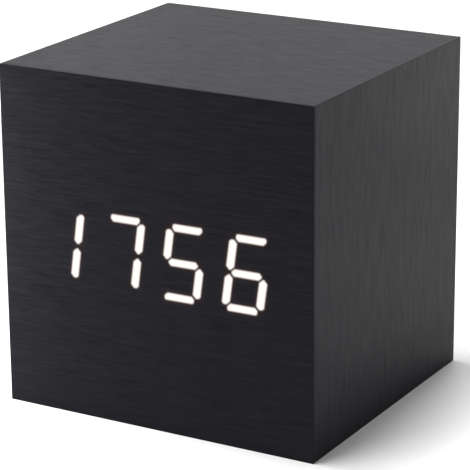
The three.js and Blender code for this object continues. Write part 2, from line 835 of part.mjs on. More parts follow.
// The battery spring's wire: a cone of turns that starts on its plate's inner face.
class SpringCurve extends THREE.Curve {
  getPoint(t, target = new THREE.Vector3()) {
    const angle = 2 * Math.PI * springTurns * t;
    const radius = THREE.MathUtils.lerp(springBaseRadius, springTipRadius, t);
    const along = contactThickness / 2 + t * (springLength - springWireRadius);
    return target.set(along, radius * Math.cos(angle), radius * Math.sin(angle));
  }
}

// A contact plate at the bay's end. Faces along X; a spring or a pressed dimple meets each cell.
function contactGeometry(side, cells, springs, tab) {
  const heights = cells.map((cell) => bayCentreZ + (1 - cell) * cellPitch);
  const low = Math.min(...heights) - contactWidth / 2;
  const high = Math.max(...heights) + contactWidth / 2;
  const pieces = [
    box(contactThickness, contactDepth, high - low, side * contactX, cellY, (low + high) / 2),
  ];
  const wire = circle(0, 0, springWireRadius, wireSides);
  springs.forEach((cell) => {
    const spring = new THREE.ExtrudeGeometry(wire, {
      steps: Math.round(springTurns * springStepsPerTurn),
      extrudePath: new SpringCurve(),
      bevelEnabled: false,
    });
    spring.rotateZ(side > 0 ? Math.PI : 0);
    spring.translate(side * contactX, cellY, bayCentreZ + (1 - cell) * cellPitch);
    pieces.push(spring);
  });
  if (tab !== undefined) {
    const reach = cellY - contactDepth / 2 - bayBackY + tabReach;
    pieces.push(
      box(
        contactThickness,
        reach + overrun,
        tabWidth,
        side * contactX,
        bayBackY - tabReach + (reach + overrun) / 2,
        bayCentreZ + (1 - tab) * cellPitch,
      ),
    );
  }
  return join(...pieces);
}

function cellGeometry() {
  const shoulder = cellLength - nubHeight;
  return new THREE.LatheGeometry(
    [
      point(0, 0),
      point(cellRadius - cellEdge, 0),
      point(cellRadius, cellEdge),
      point(cellRadius, shoulder - cellEdge),
      point(cellRadius - cellEdge, shoulder),
      point(nubRadius, shoulder),
      point(nubRadius, cellLength),
      point(0, cellLength),
    ],
    roundSides,
  );
}

// Three cells in series, laid head to tail, with the four contacts that join them.
function addBatteries(group) {
  for (let cell = 0; cell < cellCount; cell++) {
    const positiveSide = cell % 2 ? 1 : -1;
    const negativeEnd = -positiveSide * (bayLength / 2 - 2 * contactGap - contactThickness);
    const mesh = add(
      group,
      `battery_${cell + 1}`,
      cellGeometry(),
      cellSleeve,
      negativeEnd + positiveSide * springLength,
      cellY,
      bayCentreZ + (1 - cell) * cellPitch,
    );
    mesh.rotation.z = (-positiveSide * Math.PI) / 2;
  }
  add(group, "battery_contact_positive", contactGeometry(-1, [0], [], 0), platedSteel);
  add(group, "battery_contact_link_left", contactGeometry(-1, [1, 2], [1]), platedSteel);
  add(group, "battery_contact_link_right", contactGeometry(1, [0, 1], [0]), platedSteel);
  add(group, "battery_contact_negative", contactGeometry(1, [2], [2], 2), platedSteel);
}

function capGeometry() {
  const back = capFlangeY - capFlangeThickness;
  return new THREE.LatheGeometry(
    [
      point(0, back),
      point(capFlangeRadius, back),
      point(capFlangeRadius, capFlangeY),
      point(capRadius, capFlangeY),
      point(capRadius, capProud - capEdge),
      point(capRadius - capEdge, capProud),
      point(0, capProud),
    ],
    roundSides,
  );
}

function switchGeometry() {
  const bore = rod(
    plungerRadius + plungerClearance,
    switchTopY - switchBoreDepth,
    switchTopY + overrun,
    0,
    0,
    roundSides,
  );
  const bottomY = switchTopY - switchHeight;
  const body = box(switchSize, switchHeight, switchSize, 0, bottomY + switchHeight / 2, 0);
  const legSpan = switchSize + 2 * switchLegReach;
  const legs = [-1, 1].map((side) =>
    box(
      legSpan,
      switchLegHeight,
      switchLegSize,
      0,
      bottomY + switchLegHeight / 2,
      (side * switchSize) / 4,
    ),
  );
  return cut(join(body, ...legs), bore);
}

// Three buttons in a row, each over its own switch. Seen from behind they run set, down, up.
function addButtons(group, buttonXs) {
  ["set", "down", "up"].forEach((name, i) => {
    const x = buttonXs[i];
    add(group, `${name}_button`, capGeometry(), buttonPlastic, x, 0, buttonZ);
    const plunger = rod(plungerRadius, switchTopY - plungerDepth, plungerTipY);
    add(group, `${name}_switch_plunger`, plunger, insulator, x, 0, buttonZ);
    add(group, `${name}_switch_body`, switchGeometry(), platedSteel, x, 0, buttonZ);
  });
}

function addPowerSocket(group) {
  const outer = eased(rectangle(socketWidth, socketHeight), socketRounding);
  const inner = eased(
    rectangle(socketWidth - 2 * socketWall, socketHeight - 2 * socketWall),
    socketRounding - socketWall,
  );
  const rootY = buttonBoardBackY + glueLine;
  const shell = alongY(pierced(outer, [inner]), rootY, -socketMouthInset);
  add(group, "power_socket_shell", shell, platedSteel, socketShiftX, 0, buttonZ);
  const fit = 2 * (socketWall + glueLine);
  const base = eased(
    rectangle(socketWidth - fit, socketHeight - fit),
    socketRounding - socketWall,
  );
  const tongue = join(
    alongY(base, rootY, rootY + tongueBaseLength),
    box(
      tongueWidth,
      tongueLength + tongueBaseLength / 2,
      tongueThickness,
      0,
      rootY + tongueBaseLength / 2 + (tongueLength + tongueBaseLength / 2) / 2,
      0,
    ),
  );
  add(group, "power_socket_tongue", tongue, insulator, socketShiftX, 0, buttonZ);
}

function addMicrophone(group) {
  const frontY = -panelThickness - glueLine;
  const capsule = rod(microphoneRadius, frontY - microphoneLength, frontY, 0, 0, roundSides);
  add(group, "microphone", capsule, platedSteel, sideHoleX, 0, sideHoleZ);
}

function addBoards(group) {
  const buttonBoard = pierced(
    plainRectangle(buttonBoardWidth, buttonBoardHeight, 0, buttonZ),
    [-pegX, pegX].map((x) => circle(x, pegZ, pegRadius + screwClearance)),
  );
  const strip = alongY(buttonBoard, buttonBoardFrontY, buttonBoardBackY);
  add(group, "button_board", strip, circuitBoard);
  const mainBoard = pierced(
    plainRectangle(mainBoardWidth, mainBoardHeight, 0, bayCentreZ),
    bossPlaces().map(([x, z]) => circle(x, z, boardShankRadius + screwClearance)),
  );
  add(group, "main_board", alongY(mainBoard, mainBoardFrontY, mainBoardBackY), circuitBoard);
  bossPlaces().forEach(([x, z], i) => {
    const geometry = screw(boardShankRadius, boardShankLength, boardHeadRadius, boardHeadHeight);
    const mesh = add(
      group,
      `main_board_screw_${i + 1}`,
      geometry,
      blackenedSteel,
      x,
      mainBoardFrontY - glueLine,
      z,
    );
    mesh.rotation.x = Math.PI;
  });
}

function chipGeometry() {
  const body = box(chipLength, chipHeight, chipWidth, 0, -chipHeight / 2, 0);
  const legDrop = chipHeight / 2 + chipLegThickness;
  const legs = [-1, 1].flatMap((side) =>
    Array.from({ length: chipLegs }, (_, i) => {
      const x = (i - (chipLegs - 1) / 2) * chipLegPitch;
      const z = (side * (chipWidth + chipLegReach)) / 2;
      const shoulder = box(
        chipLegWidth,
        chipLegThickness,
        chipLegReach,
        x,
        chipLegThickness / 2 - legDrop,
        z,
      );
      const foot = box(
        chipLegWidth,
        legDrop,
        chipLegThickness,
        x,
        -legDrop / 2,
        side * (chipWidth / 2 + chipLegReach - chipLegThickness / 2),
      );
      return [shoulder, foot];
    }),
  );
  return join(body, ...legs.flat());
}

function capacitorGeometry() {
  const base = capacitorRadius - capacitorGroove;
  return new THREE.LatheGeometry(
    [
      point(0, -capacitorHeight),
      point(base, -capacitorHeight),
      point(capacitorRadius, capacitorGroove - capacitorHeight),
      point(capacitorRadius, -4 * capacitorGroove),
      point(base, -3 * capacitorGroove),
      point(capacitorRadius, -2 * capacitorGroove),
      point(capacitorRadius, 0),
      point(0, 0),
    ],
    roundSides,
  );
}

function buzzerGeometry() {
  return new THREE.LatheGeometry(
    [
      point(0, buzzerHoleDepth - buzzerHeight),
      point(buzzerHoleRadius, buzzerHoleDepth - buzzerHeight),
      point(buzzerHoleRadius, -buzzerHeight),
      point(buzzerRadius, -buzzerHeight),
      point(buzzerRadius, 0),
      point(0, 0),
    ],
    roundSides,
  );
}

function sensorGeometry() {
  const bead = new THREE.SphereGeometry(sensorBeadRadius, smallSides, smallSides / 2).translate(
    0,
    -sensorStandoff,
    0,
  );
  const legs = [-1, 1].map((side) =>
    rod(sensorLegRadius, -sensorStandoff, 0, side * sensorLegSpread, 0, wireSides),
  );
  return join(bead, ...legs);
}

// Components stand on the main board's front face, which looks towards -Y.
function addComponents(group) {
  const y = mainBoardFrontY - glueLine;
  const place = (name, geometry, material, x, z) =>
    add(group, name, geometry, material, x, y, bayCentreZ + z);
  place("controller_chip", chipGeometry(), chipResin, chipShiftX, chipShiftZ);
  const crystal = new THREE.CylinderGeometry(
    crystalRadius,
    crystalRadius,
    crystalLength,
    smallSides,
  )
    .rotateZ(Math.PI / 2)
    .translate(0, -crystalRadius, 0);
  place("quartz_crystal", crystal, platedSteel, crystalShiftX, crystalShiftZ);
  place(
    "storage_capacitor",
    capacitorGeometry(),
    chipResin,
    capacitorShiftX,
    capacitorShiftZ,
  );
  place("buzzer", buzzerGeometry(), insulator, buzzerShiftX, buzzerShiftZ);
  place("temperature_sensor", sensorGeometry(), chipResin, sensorShiftX, sensorShiftZ);
}

// A flat cable whose side view is one smooth arc, square to the boards at both of its ends.
function ribbonGeometry(start, startReach, end, endReach, width) {
  const startHandle = point(start.x + startReach, start.y);
  const endHandle = point(end.x + endReach, end.y);
  const curve = new THREE.CubicBezierCurve(start, startHandle, endHandle, end);
  const stations = Array.from({ length: ribbonSteps + 1 }, (_, i) => i / ribbonSteps);
  const offset = (t, side) => {
    const at = curve.getPoint(t);
    const along = curve.getTangent(t);
    return point(at.x - along.y * side, at.y + along.x * side);
  };
  const half = ribbonThickness / 2;
  const edge = stations.map((t) => offset(t, half));
  const otherEdge = stations.map((t) => offset(t, -half)).reverse();
  return alongX(new THREE.Shape([...edge, ...otherEdge]), width);
}

function addCables(group) {
  const boardY = mainBoardFrontY - glueLine;
  const displayBoardY = displayFaceY - panelFaceY + ledBoardBackY + glueLine;
  const displayRibbon = ribbonGeometry(
    point(boardY, bayCentreZ - ribbonDrop),
    -ribbonReach,
    point(displayBoardY, displayShiftZ - displayRibbonDrop),
    ribbonReach,
    displayRibbonWidth,
  );
  add(group, "display_ribbon", displayRibbon, greyRibbon);
  const buttonRibbon = ribbonGeometry(
    point(boardY, bayCentreZ + ribbonLift),
    -ribbonReach,
    point(buttonBoardFrontY - glueLine, buttonZ),
    -ribbonReach,
    buttonRibbonWidth,
  );
  add(group, "button_ribbon", buttonRibbon, greyRibbon);

  const landingX = mainBoardWidth / 2 - leadInset;
  const tabTipY = bayBackY - tabReach - glueLine;
  const leads = [
    ["battery_lead_positive", redWire],
    ["battery_lead_negative", blackWire],
  ];
  tabPlaces().forEach(([x, z], i) => {
    const at = (distance, y) => new THREE.Vector3(Math.sign(x) * distance, y, z);
    const path = new THREE.CubicBezierCurve3(
      at(contactX, tabTipY),
      at(contactX, boardY - leadReach),
      at(landingX, boardY - leadReach),
      at(landingX, boardY),
    );
    const lead = new THREE.ExtrudeGeometry(circle(0, 0, leadRadius, leadSides), {
      steps: leadSteps,
      extrudePath: path,
      bevelEnabled: false,
    });
    add(group, leads[i][0], lead, leads[i][1]);
  });
}

// Everything that comes out of the case with the rear panel. y = 0 is the panel's outer face.
function buildRear() {
  const group = new THREE.Group();
  group.position.set(0, panelFaceY, caseHeight / 2);
  const buttonXs = [1, 0, -1].map((i) => buttonShiftX + i * buttonPitch);
  add(group, "rear_panel", rearPanelGeometry(buttonXs), blackPlastic);
  corners(blockX, blockZ).forEach(([x, z], i) => {
    const geometry = screw(rearShankRadius, rearShankLength, rearHeadRadius, rearHeadHeight);
    add(group, `rear_screw_${i + 1}`, geometry, blackenedSteel, x, glueLine, z);
  });
  add(group, "battery_door", batteryDoorGeometry(), doorPlastic);
  addBatteries(group);
  addButtons(group, buttonXs);
  addPowerSocket(group);
  addMicrophone(group);
  addBoards(group);
  addComponents(group);
  addCables(group);
  return group;
}

const clock = new THREE.Group();
clock.add(buildCase(), buildDisplay(), buildRear());
export default clock;
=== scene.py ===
"""Looks of a small black wood-veneer cube clock: its veneer, its glowing figures and its rear panel.

Shapes are worked out in millimetres, in the frame of the part, and turned into metres as meshes.
"""

import json
import math
from collections import namedtuple

import bmesh
import bpy
import numpy as np
from mathutils import Matrix, Vector


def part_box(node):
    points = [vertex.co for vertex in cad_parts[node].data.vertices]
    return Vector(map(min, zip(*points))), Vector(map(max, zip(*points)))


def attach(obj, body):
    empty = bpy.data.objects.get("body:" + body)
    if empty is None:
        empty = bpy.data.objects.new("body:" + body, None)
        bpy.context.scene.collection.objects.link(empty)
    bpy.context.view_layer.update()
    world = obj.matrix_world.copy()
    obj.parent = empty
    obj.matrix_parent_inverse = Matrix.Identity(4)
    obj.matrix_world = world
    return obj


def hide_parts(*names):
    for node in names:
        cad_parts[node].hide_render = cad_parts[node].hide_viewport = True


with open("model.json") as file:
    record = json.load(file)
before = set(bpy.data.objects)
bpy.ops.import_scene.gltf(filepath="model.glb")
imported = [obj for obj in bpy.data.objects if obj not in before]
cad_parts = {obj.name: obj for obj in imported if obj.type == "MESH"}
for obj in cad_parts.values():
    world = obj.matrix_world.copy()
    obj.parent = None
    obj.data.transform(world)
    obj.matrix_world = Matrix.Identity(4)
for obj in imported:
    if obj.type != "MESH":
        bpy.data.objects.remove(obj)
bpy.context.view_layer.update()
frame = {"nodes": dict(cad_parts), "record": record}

MM = 0.001
ROOT = "root"
DOOR = "door"
KEYS = ("set", "down", "up")
DARK = (0, 0, 0)
WHITE = (1, 1, 1)


def node_box(node):
    """Lowest and highest corner of a node of the frame, in millimetres."""
    low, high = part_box(node)
    return np.array(low) / MM, np.array(high) / MM


def middle(node):
    """The middle of a node's box."""
    low, high = node_box(node)
    return (low + high) / 2


def face_middle(node):
    """x and z of the middle of a node's box."""
    return middle(node)[[0, 2]]


# Meshes

MERGE_DISTANCE = 2e-7  # in metres, as the meshes are
FLAT_ANGLE = 1
EASED_ANGLE = 30
SHARP_ANGLE = 35
# Points on the quarter turn of a rounding, from the smallest to the largest.
COARSE, MEDIUM, FINE = 3, 4, 7
NEARLY_UPRIGHT = 0.9
BEVEL_SEGMENTS = 2

Skin = namedtuple("Skin", "points closed", defaults=[False])
# A skin is a grid of points, rows of one closed ring each. Its first and last rows are poles,
# or, where it is closed, the last row joins the first.


def grid_faces(rows, columns, closed=False, ring=True):
    """Quads between neighbouring points of a grid. In a ring, the last column joins the first."""
    i, j = np.meshgrid(np.arange(rows - (not closed)), np.arange(columns - (not ring)), indexing="ij")
    below, beside = (i + 1) % rows, (j + 1) % columns
    corners = [i * columns + j, below * columns + j, below * columns + beside, i * columns + beside]
    return np.stack(corners, axis=-1).reshape(-1, 4)


def write_mesh(name, points, faces):
    """A mesh of quads from points in millimetres, with its doubles merged and facing outwards."""
    mesh = bpy.data.meshes.new(name)
    mesh.vertices.add(len(points))
    mesh.vertices.foreach_set("co", (points * MM).astype(np.float32).ravel())
    mesh.loops.add(faces.size)
    mesh.loops.foreach_set("vertex_index", faces.astype(np.int32).ravel())
    mesh.polygons.add(len(faces))
    mesh.polygons.foreach_set("loop_start", np.arange(0, faces.size, 4, dtype=np.int32))
    mesh.update(calc_edges=True)
    clean(mesh)
    return mesh


def clean(mesh):
    """Merges doubled vertices, drops faces without area and turns the faces outwards."""
    work = bmesh.new()
    work.from_mesh(mesh)
    bmesh.ops.remove_doubles(work, verts=work.verts, dist=MERGE_DISTANCE)
    bmesh.ops.dissolve_degenerate(work, edges=work.edges, dist=MERGE_DISTANCE)
    bmesh.ops.recalc_face_normals(work, faces=work.faces)
    work.to_mesh(mesh)
    work.free()


def skin_mesh(name, skins):
    """One mesh from one or more skins."""
    points, faces, start = [], [], 0
    for skin in skins:
        rows, columns = skin.points.shape[:2]
        points.append(skin.points.reshape(-1, 3))
        faces.append(grid_faces(rows, columns, skin.closed) + start)
        start += rows * columns
    return write_mesh(name, np.concatenate(points), np.concatenate(faces))


def put(name, data):
    """A new object in the scene."""
    thing = bpy.data.objects.new(name, data)
    bpy.context.scene.collection.objects.link(thing)
    return thing


def baked(helper):
    """An object's mesh with its modifiers carried out. The object itself is taken away."""
    bpy.context.view_layer.update()
    graph = bpy.context.evaluated_depsgraph_get()
    mesh = bpy.data.meshes.new_from_object(helper.evaluated_get(graph))
    bpy.data.objects.remove(helper)
    return mesh


def show(name, mesh, finish, slot, body=ROOT, replaces=(), sharp=SHARP_ANGLE):
    """Puts a finished mesh in the scene, smooth but for edges sharper than the given angle."""
    piece = put(name, mesh)
    mesh.materials.clear()
    mesh.materials.append(finish)
    mesh.shade_smooth()
    mesh.set_sharp_from_angle(angle=math.radians(sharp))
    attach(piece, body)
    if replaces:
        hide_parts(*replaces)
    return piece


def build(name, skins, finish, slot, **placing):
    """One piece from one or more skins."""
    return show(name, skin_mesh(name, skins), finish, slot, **placing)


def turned(profile, sides, centre, axis="y"):
    """A turned skin: ring i is a circle of radius profile[i][0] at the height profile[i][1]."""
    radius, height = np.array(profile).T
    angle = np.linspace(0, math.tau, sides, endpoint=False)
    across = radius[:, None] * np.cos(angle)
    up = radius[:, None] * np.sin(angle)
    along = np.repeat(height[:, None], sides, axis=1)
    order = {"x": (along, across, up), "y": (across, along, up)}[axis]
    return Skin(np.stack(order, axis=-1) + centre)


def rounded_step(outer, low, high, radius, steps=5):
    """A profile's quarter turn: from a face at height high to a wall at the radius outer."""
    angle = np.linspace(0, math.pi / 2, steps)
    side = math.copysign(radius, high - low)
    return list(zip(outer - radius + radius * np.sin(angle), high - side + side * np.cos(angle)))


def rounded_rims(radius, low, high, steps):
    """Insets and levels of a plate's rings between low and high, with both of its rims rounded.

    The ring at the angle a lies radius (1 - sin a) within the outline, and radius (1 - cos a)
    from the face.
    """
    angle = np.linspace(0, math.pi / 2, steps)
    inset = radius * (1 - np.sin(angle))
    depth = radius * (1 - np.cos(angle))
    return np.append(inset, inset[::-1]), np.append(low + depth, high - depth[::-1])


def prism(outlines, levels, centre=(0, 0, 0)):
    """A skin through one outline per level of y, closed by fans to the first and last centres.

    outlines is an array (level, point, 2) of x and z, or one outline that serves every level.
    """
    outlines = np.array(outlines)
    if outlines.ndim == 2:
        outlines = np.repeat(outlines[None], len(levels), axis=0)
    y = np.repeat(np.array(levels)[:, None], outlines.shape[1], axis=1)
    rows = np.stack([outlines[..., 0], y, outlines[..., 1]], axis=-1)
    first, last = (np.broadcast_to(row.mean(axis=0), row.shape)[None] for row in (rows[0], rows[-1]))
    return Skin(np.concatenate([first, rows, last]) + centre)


def slab(low, high, rounding):
    """A block between two corners, with its edges along y and the rims of both ends rounded."""
    low, high = np.array(low), np.array(high)
    centre, size = (low + high) / 2, high - low
    insets, levels = rounded_rims(rounding, low[1], high[1], COARSE)
    outlines = [
        rounded_rectangle(size[0] - 2 * i, size[2] - 2 * i, rounding, COARSE) for i in insets
    ]
    return prism(outlines, levels, (centre[0], 0, centre[2]))


def rounded_rectangle(width, height, radius, steps):
    """Anticlockwise outline of a rectangle whose corners are quarter circles."""
    angle = np.linspace(0, math.pi / 2, steps)
    arc = radius * np.stack([np.cos(angle), np.sin(angle)], axis=1)
    quarter = np.array([[0, -1], [1, 0]])
    outline = []
    for sign_x, sign_z in ((1, 1), (-1, 1), (-1, -1), (1, -1)):
        centre = np.array([sign_x * (width / 2 - radius), sign_z * (height / 2 - radius)])
        outline.append(arc + centre)
        arc = arc @ quarter.T
    return np.concatenate(outline)


def tube(path, radius, sides):
    """A round bar along a path, whose rings stand square to it, closed by a fan at each end.

    Ring i lies in the plane of two normals of the path there. The first normal is carried from
    ring to ring by taking away its part along the path, so that the bar doesn't twist.
    """
    along = np.gradient(path, axis=0)
    along /= np.linalg.norm(along, axis=1, keepdims=True)
    normal = np.cross(along[0], [0, 0, 1] if abs(along[0][2]) < NEARLY_UPRIGHT else [1, 0, 0])
    normals = []
    for direction in along:
        normal = normal - direction * np.dot(normal, direction)
        normal /= np.linalg.norm(normal)
        normals.append(normal)
    normals = np.array(normals)
    others = np.cross(along, normals)
    angle = np.linspace(0, math.tau, sides, endpoint=False)
    ring = normals[:, None] * np.cos(angle)[:, None] + others[:, None] * np.sin(angle)[:, None]
    rows = path[:, None] + radius * ring
    first = np.repeat(path[:1, None], sides, axis=1)
    last = np.repeat(path[-1:, None], sides, axis=1)
    return Skin(np.concatenate([first, rows, last]))


def softened(node, finish, slot, width, body=ROOT):
    """A node's own shape with its edges rounded, in place of the node.

    The flat faces keep their own normals where they meet a rounding.
    """
    mesh = frame["nodes"][node].data.copy()
    clean(mesh)
    work = bmesh.new()
    work.from_mesh(mesh)
    flat = math.radians(FLAT_ANGLE)
    bmesh.ops.dissolve_limit(work, angle_limit=flat, verts=work.verts, edges=work.edges)
    work.to_mesh(mesh)
    work.free()
    piece = show(node + "_moulding", mesh, finish, slot, body, (node,), EASED_ANGLE)
    bevel = piece.modifiers.new("rounding", "BEVEL")
    bevel.width = width * MM
    bevel.segments = BEVEL_SEGMENTS
    bevel.limit_method = "ANGLE"
    bevel.angle_limit = math.radians(EASED_ANGLE)
    bevel.harden_normals = True
    piece.modifiers.new("even_normals", "WEIGHTED_NORMAL").keep_sharp = True


def read_points(mesh):
    """The mesh's vertices in millimetres."""
    points = np.empty(len(mesh.vertices) * 3, dtype=np.float32)
    mesh.vertices.foreach_get("co", points)
    return points.reshape(-1, 3) / MM


def grain_map(mesh, grain):
    """A UV map in metres: u along the grain and v across it, from a function of the points."""
    corners = np.empty(len(mesh.loops), dtype=np.int32)
    mesh.loops.foreach_get("vertex_index", corners)
    places = (grain(read_points(mesh)) * MM)[corners].astype(np.float32)
    mesh.uv_layers.new(name="grain").data.foreach_set("uv", places.ravel())


# Node trees

NOISE_MIDDLE = 0.5
NOISE_EDGES = (0.3, 0.7)  # most values of a noise lie between these


class Field:
    """A socket of a node tree that takes part in sums as a number does."""

    def __init__(self, nodes, socket):
        self.nodes = nodes
        self.socket = socket

    def math(self, operation, *others):
        return self.nodes.node("ShaderNodeMath", {"operation": operation}, [self, *others])

    def __add__(self, other):
        return self.math("ADD", other)

    def __mul__(self, other):
        return self.math("MULTIPLY", other)

    def __sub__(self, other):
        return self.math("SUBTRACT", other)

    def __rsub__(self, other):
        return self.nodes.node("ShaderNodeMath", {"operation": "SUBTRACT"}, [other, self])

    def __gt__(self, other):
        return self.math("GREATER_THAN", other)

    def __lt__(self, other):
        return self.math("LESS_THAN", other)

    __radd__ = __add__
    __rmul__ = __mul__


class Nodes:
    """A node tree with a single method that adds every node."""

    def __init__(self, tree):
        self.tree = tree

    def node(self, kind, settings=None, inputs=(), output=0):
        """A node of a kind: its settings first, then the values or links of its sockets."""
        made = self.tree.nodes.new(kind)
        for name, value in (settings or {}).items():
            setattr(made, name, value)
        pairs = inputs.items() if isinstance(inputs, dict) else enumerate(inputs)
        for key, value in pairs:
            self.feed(made.inputs[key], value)
        return Field(self, made.outputs[output])

    def feed(self, socket, value):
        """Links a field to a socket, or sets the socket's own value."""
        if isinstance(value, Field):
            self.tree.links.new(value.socket, socket)
        else:
            socket.default_value = value

    def blend(self, factor, first, second):
        """A colour between two colours."""
        first, second = (c if isinstance(c, Field) else (*c, 1) for c in (first, second))
        colours = {0: factor, 6: first, 7: second}
        return self.node("ShaderNodeMix", {"data_type": "RGBA"}, colours, output=2)


class Finish(Nodes):
    """A material with one Principled shader."""

    def __init__(self, name, **constants):
        self.material = bpy.data.materials.new(name)
        self.material.use_nodes = True
        super().__init__(self.material.node_tree)
        self.shader = self.tree.nodes["Principled BSDF"]
        self.set(**constants)

    def set(self, **values):
        """Sets or feeds the shader's sockets, named as in specular_ior_level."""
        for name, value in values.items():
            socket = name.replace("_", " ").title().replace("Ior", "IOR")
            self.feed(self.shader.inputs[socket], value)

    def place(self, scale=1, uv=None):
        """Millimetres on the object or a UV map, times a scale, or a scale for each axis."""
        if uv:
            source = self.node("ShaderNodeUVMap", {"uv_map": uv})
        else:
            source = self.node("ShaderNodeTexCoord", output="Object")
        sizes = tuple(np.broadcast_to(scale, 3) / MM)
        return self.node("ShaderNodeMapping", inputs={"Vector": source, "Scale": sizes})

    def axis(self, vector, name):
        return self.node("ShaderNodeSeparateXYZ", inputs=[vector], output=name)

    def joined(self, x, y):
        """A vector of two fields."""
        return self.node("ShaderNodeCombineXYZ", inputs=[x, y, 0.0])

    def noise(self, vector, detail=2.0, roughness=0.5):
        sizes = {"Scale": 1.0, "Detail": detail, "Roughness": roughness}
        return self.node("ShaderNodeTexNoise", inputs={"Vector": vector, **sizes})

    def texture(self, scale, detail=2.0, roughness=0.5):
        """A noise on the object itself, with so many cells to the millimetre."""
        return self.noise(self.place(scale), detail, roughness)

    def between(self, value, low, high, out_low=0.0, out_high=1.0):
        """A value carried smoothly from one range to another, held at its ends."""
        names = ("Value", "From Min", "From Max", "To Min", "To Max")
        sockets = dict(zip(names, (value, low, high, out_low, out_high)))
        return self.node("ShaderNodeMapRange", {"interpolation_type": "SMOOTHSTEP"}, sockets)

    def spread(self, noise, low=0.0, high=1.0):
        """A noise carried from where most of its values lie to a range."""
        return self.between(noise, *NOISE_EDGES, low, high)

    def bump(self, height, depth, strength=1.0):
        """Feeds Normal with a height field: depth is the height of 1 in millimetres."""
        sizes = {"Strength": strength, "Distance": depth * MM, "Height": height}
        self.set(normal=self.node("ShaderNodeBump", inputs=sizes))


# Finishes

# A texture is its cells per millimetre, then the detail and roughness of its noise. Edges are
# the values between which a mask rises. A bump is its height in millimetres and its strength.

# Streaks of the veneer: length, width, then the detail and roughness of their noise.
FIBRES = (5.0, 0.34, 2.0, 0.55)
BANDS = (60.0, 2.6, 1.0, 0.5)
PORES = (1.5, 0.13, 0.0, 0.5)
PORE_EDGES = (0.66, 0.78)
BUNDLE_LENGTH = 8.0
BUNDLE_NOISE = (2.0, 0.65)
FRONT_BUNDLE_WIDTH = 0.5
SIDE_BUNDLE_WIDTH = 1.1
# Each waver of the streaks: the scale and detail of its noise, and how far it moves them.
WAVERS = (((0.06, 0.14, 1), 2.0, 1.4), ((0.35, 0.5, 1), 0.0, 0.25))
STAIN = ((0.0056, 0.0053, 0.0083), (0.0100, 0.0094, 0.0137))
STAIN_EDGES = (0.28, 0.72)
FIBRE_SHARE = 0.75  # how much of the stain follows the fibres; the rest follows the bands
OPEN_PORE = (0.0026, 0.0025, 0.0034)
PORE_SHARE = 0.7
VENEER_ROUGHNESS = (0.35, 0.44)
PORE_ROUGHNESS = 0.12
LACQUER = 0.08
FIBRE_RISE = 0.7
BAND_RISE = 0.12
PORE_DROP = 0.8
VENEER_BUMP = (0.017, 0.6)


def veneer_finish(name, bundle_width):
    """Black-stained veneer: fine wavy fibres, faint growth bands and short open pores.

    A thin lacquer, thicker on some bundles of fibres than on others, shows the grain at a slant.
    Gives the finish and the field of its fibres.
    """
    finish = Finish(name, specular_ior_level=0.065, coat_roughness=0.4)
    grain = finish.place(uv="grain")
    along, across = finish.axis(grain, "X"), finish.axis(grain, "Y")
    for scale, detail, reach in WAVERS:
        across += finish.noise(finish.place(scale, uv="grain"), detail) * reach

    def streaks(length, width, detail, roughness):
        stretched = finish.joined(along * (1 / length), across * (1 / width))
        return finish.noise(stretched, detail, roughness)

    fibres, bands = streaks(*FIBRES), streaks(*BANDS)
    bundles = streaks(BUNDLE_LENGTH, bundle_width, *BUNDLE_NOISE)
    pores = finish.between(streaks(*PORES), *PORE_EDGES)
    tone = finish.between(fibres, *STAIN_EDGES) * FIBRE_SHARE + finish.spread(bands) * (1 - FIBRE_SHARE)
    finish.set(base_color=finish.blend(pores * PORE_SHARE, finish.blend(tone, *STAIN), OPEN_PORE))
    finish.set(roughness=finish.spread(fibres, *VENEER_ROUGHNESS) + pores * PORE_ROUGHNESS)
    finish.set(coat_weight=finish.spread(bundles) * LACQUER)
    finish.bump(fibres * FIBRE_RISE + bands * BAND_RISE - pores * PORE_DROP, *VENEER_BUMP)
    return finish, fibres


GLOW_FRAY = 0.08
GLOW_RIM = 0.45
GLOW_CORE = ((1.0, 0.985, 0.965), (1.0, 0.90, 0.84))
GLOW_HALO = (0.012, 0.0042, 0.0022)


def lit_veneer_finish():
    """The same veneer where it covers the display: near white over a lit segment, warm beside it.

    The sheet's attribute holds the distance in millimetres to the nearest lit segment, less than
    0 inside it. The fibres fray the segment's edge a little.
    """
    finish, fibres = veneer_finish("lit_veneer", FRONT_BUNDLE_WIDTH)
    finish.set(emission_strength=1.0)
    distance = finish.node("ShaderNodeAttribute", {"attribute_name": "to_light"}, output="Fac")
    frayed = distance + (fibres - NOISE_MIDDLE) * GLOW_FRAY
    lit = finish.between(frayed, -GLOW_SOFTNESS, GLOW_SOFTNESS, 1.0, 0.0)
    core = finish.blend(finish.between(distance, -GLOW_RIM, 0.0), *GLOW_CORE)
    spill = finish.between(distance, 0.0, GLOW_SPILL, 1.0, 0.0)
    halo = finish.blend(spill * spill, DARK, GLOW_HALO)
    finish.set(emission_color=finish.blend(lit * lit, halo, core))
    return finish.material


BOARD_FIBRES = (1.6, 6.0, 0.7)
BOARD_FIBRE_EDGES = (0.35, 0.65)
RAW_BOARD = ((0.20, 0.125, 0.066), (0.34, 0.235, 0.14))
FLECK_SCALE = 4.5
FLECK_EDGES = (0.62, 0.8)
FLECK_SHARE = 0.5
BOARD_FLECK = (0.12, 0.07, 0.035)
EDGE_PAINT = (0.012, 0.012, 0.0135)
PAINT_START = 3.4  # how far before the rear the paint begins, and where it covers the board
PAINT_FULL = 2.8
PAINT_FRAY = 1.2
BOARD_ROUGHNESS = 0.92
PAINT_ROUGHNESS = 0.62
BOARD_BUMP = (0.05, 0.5)


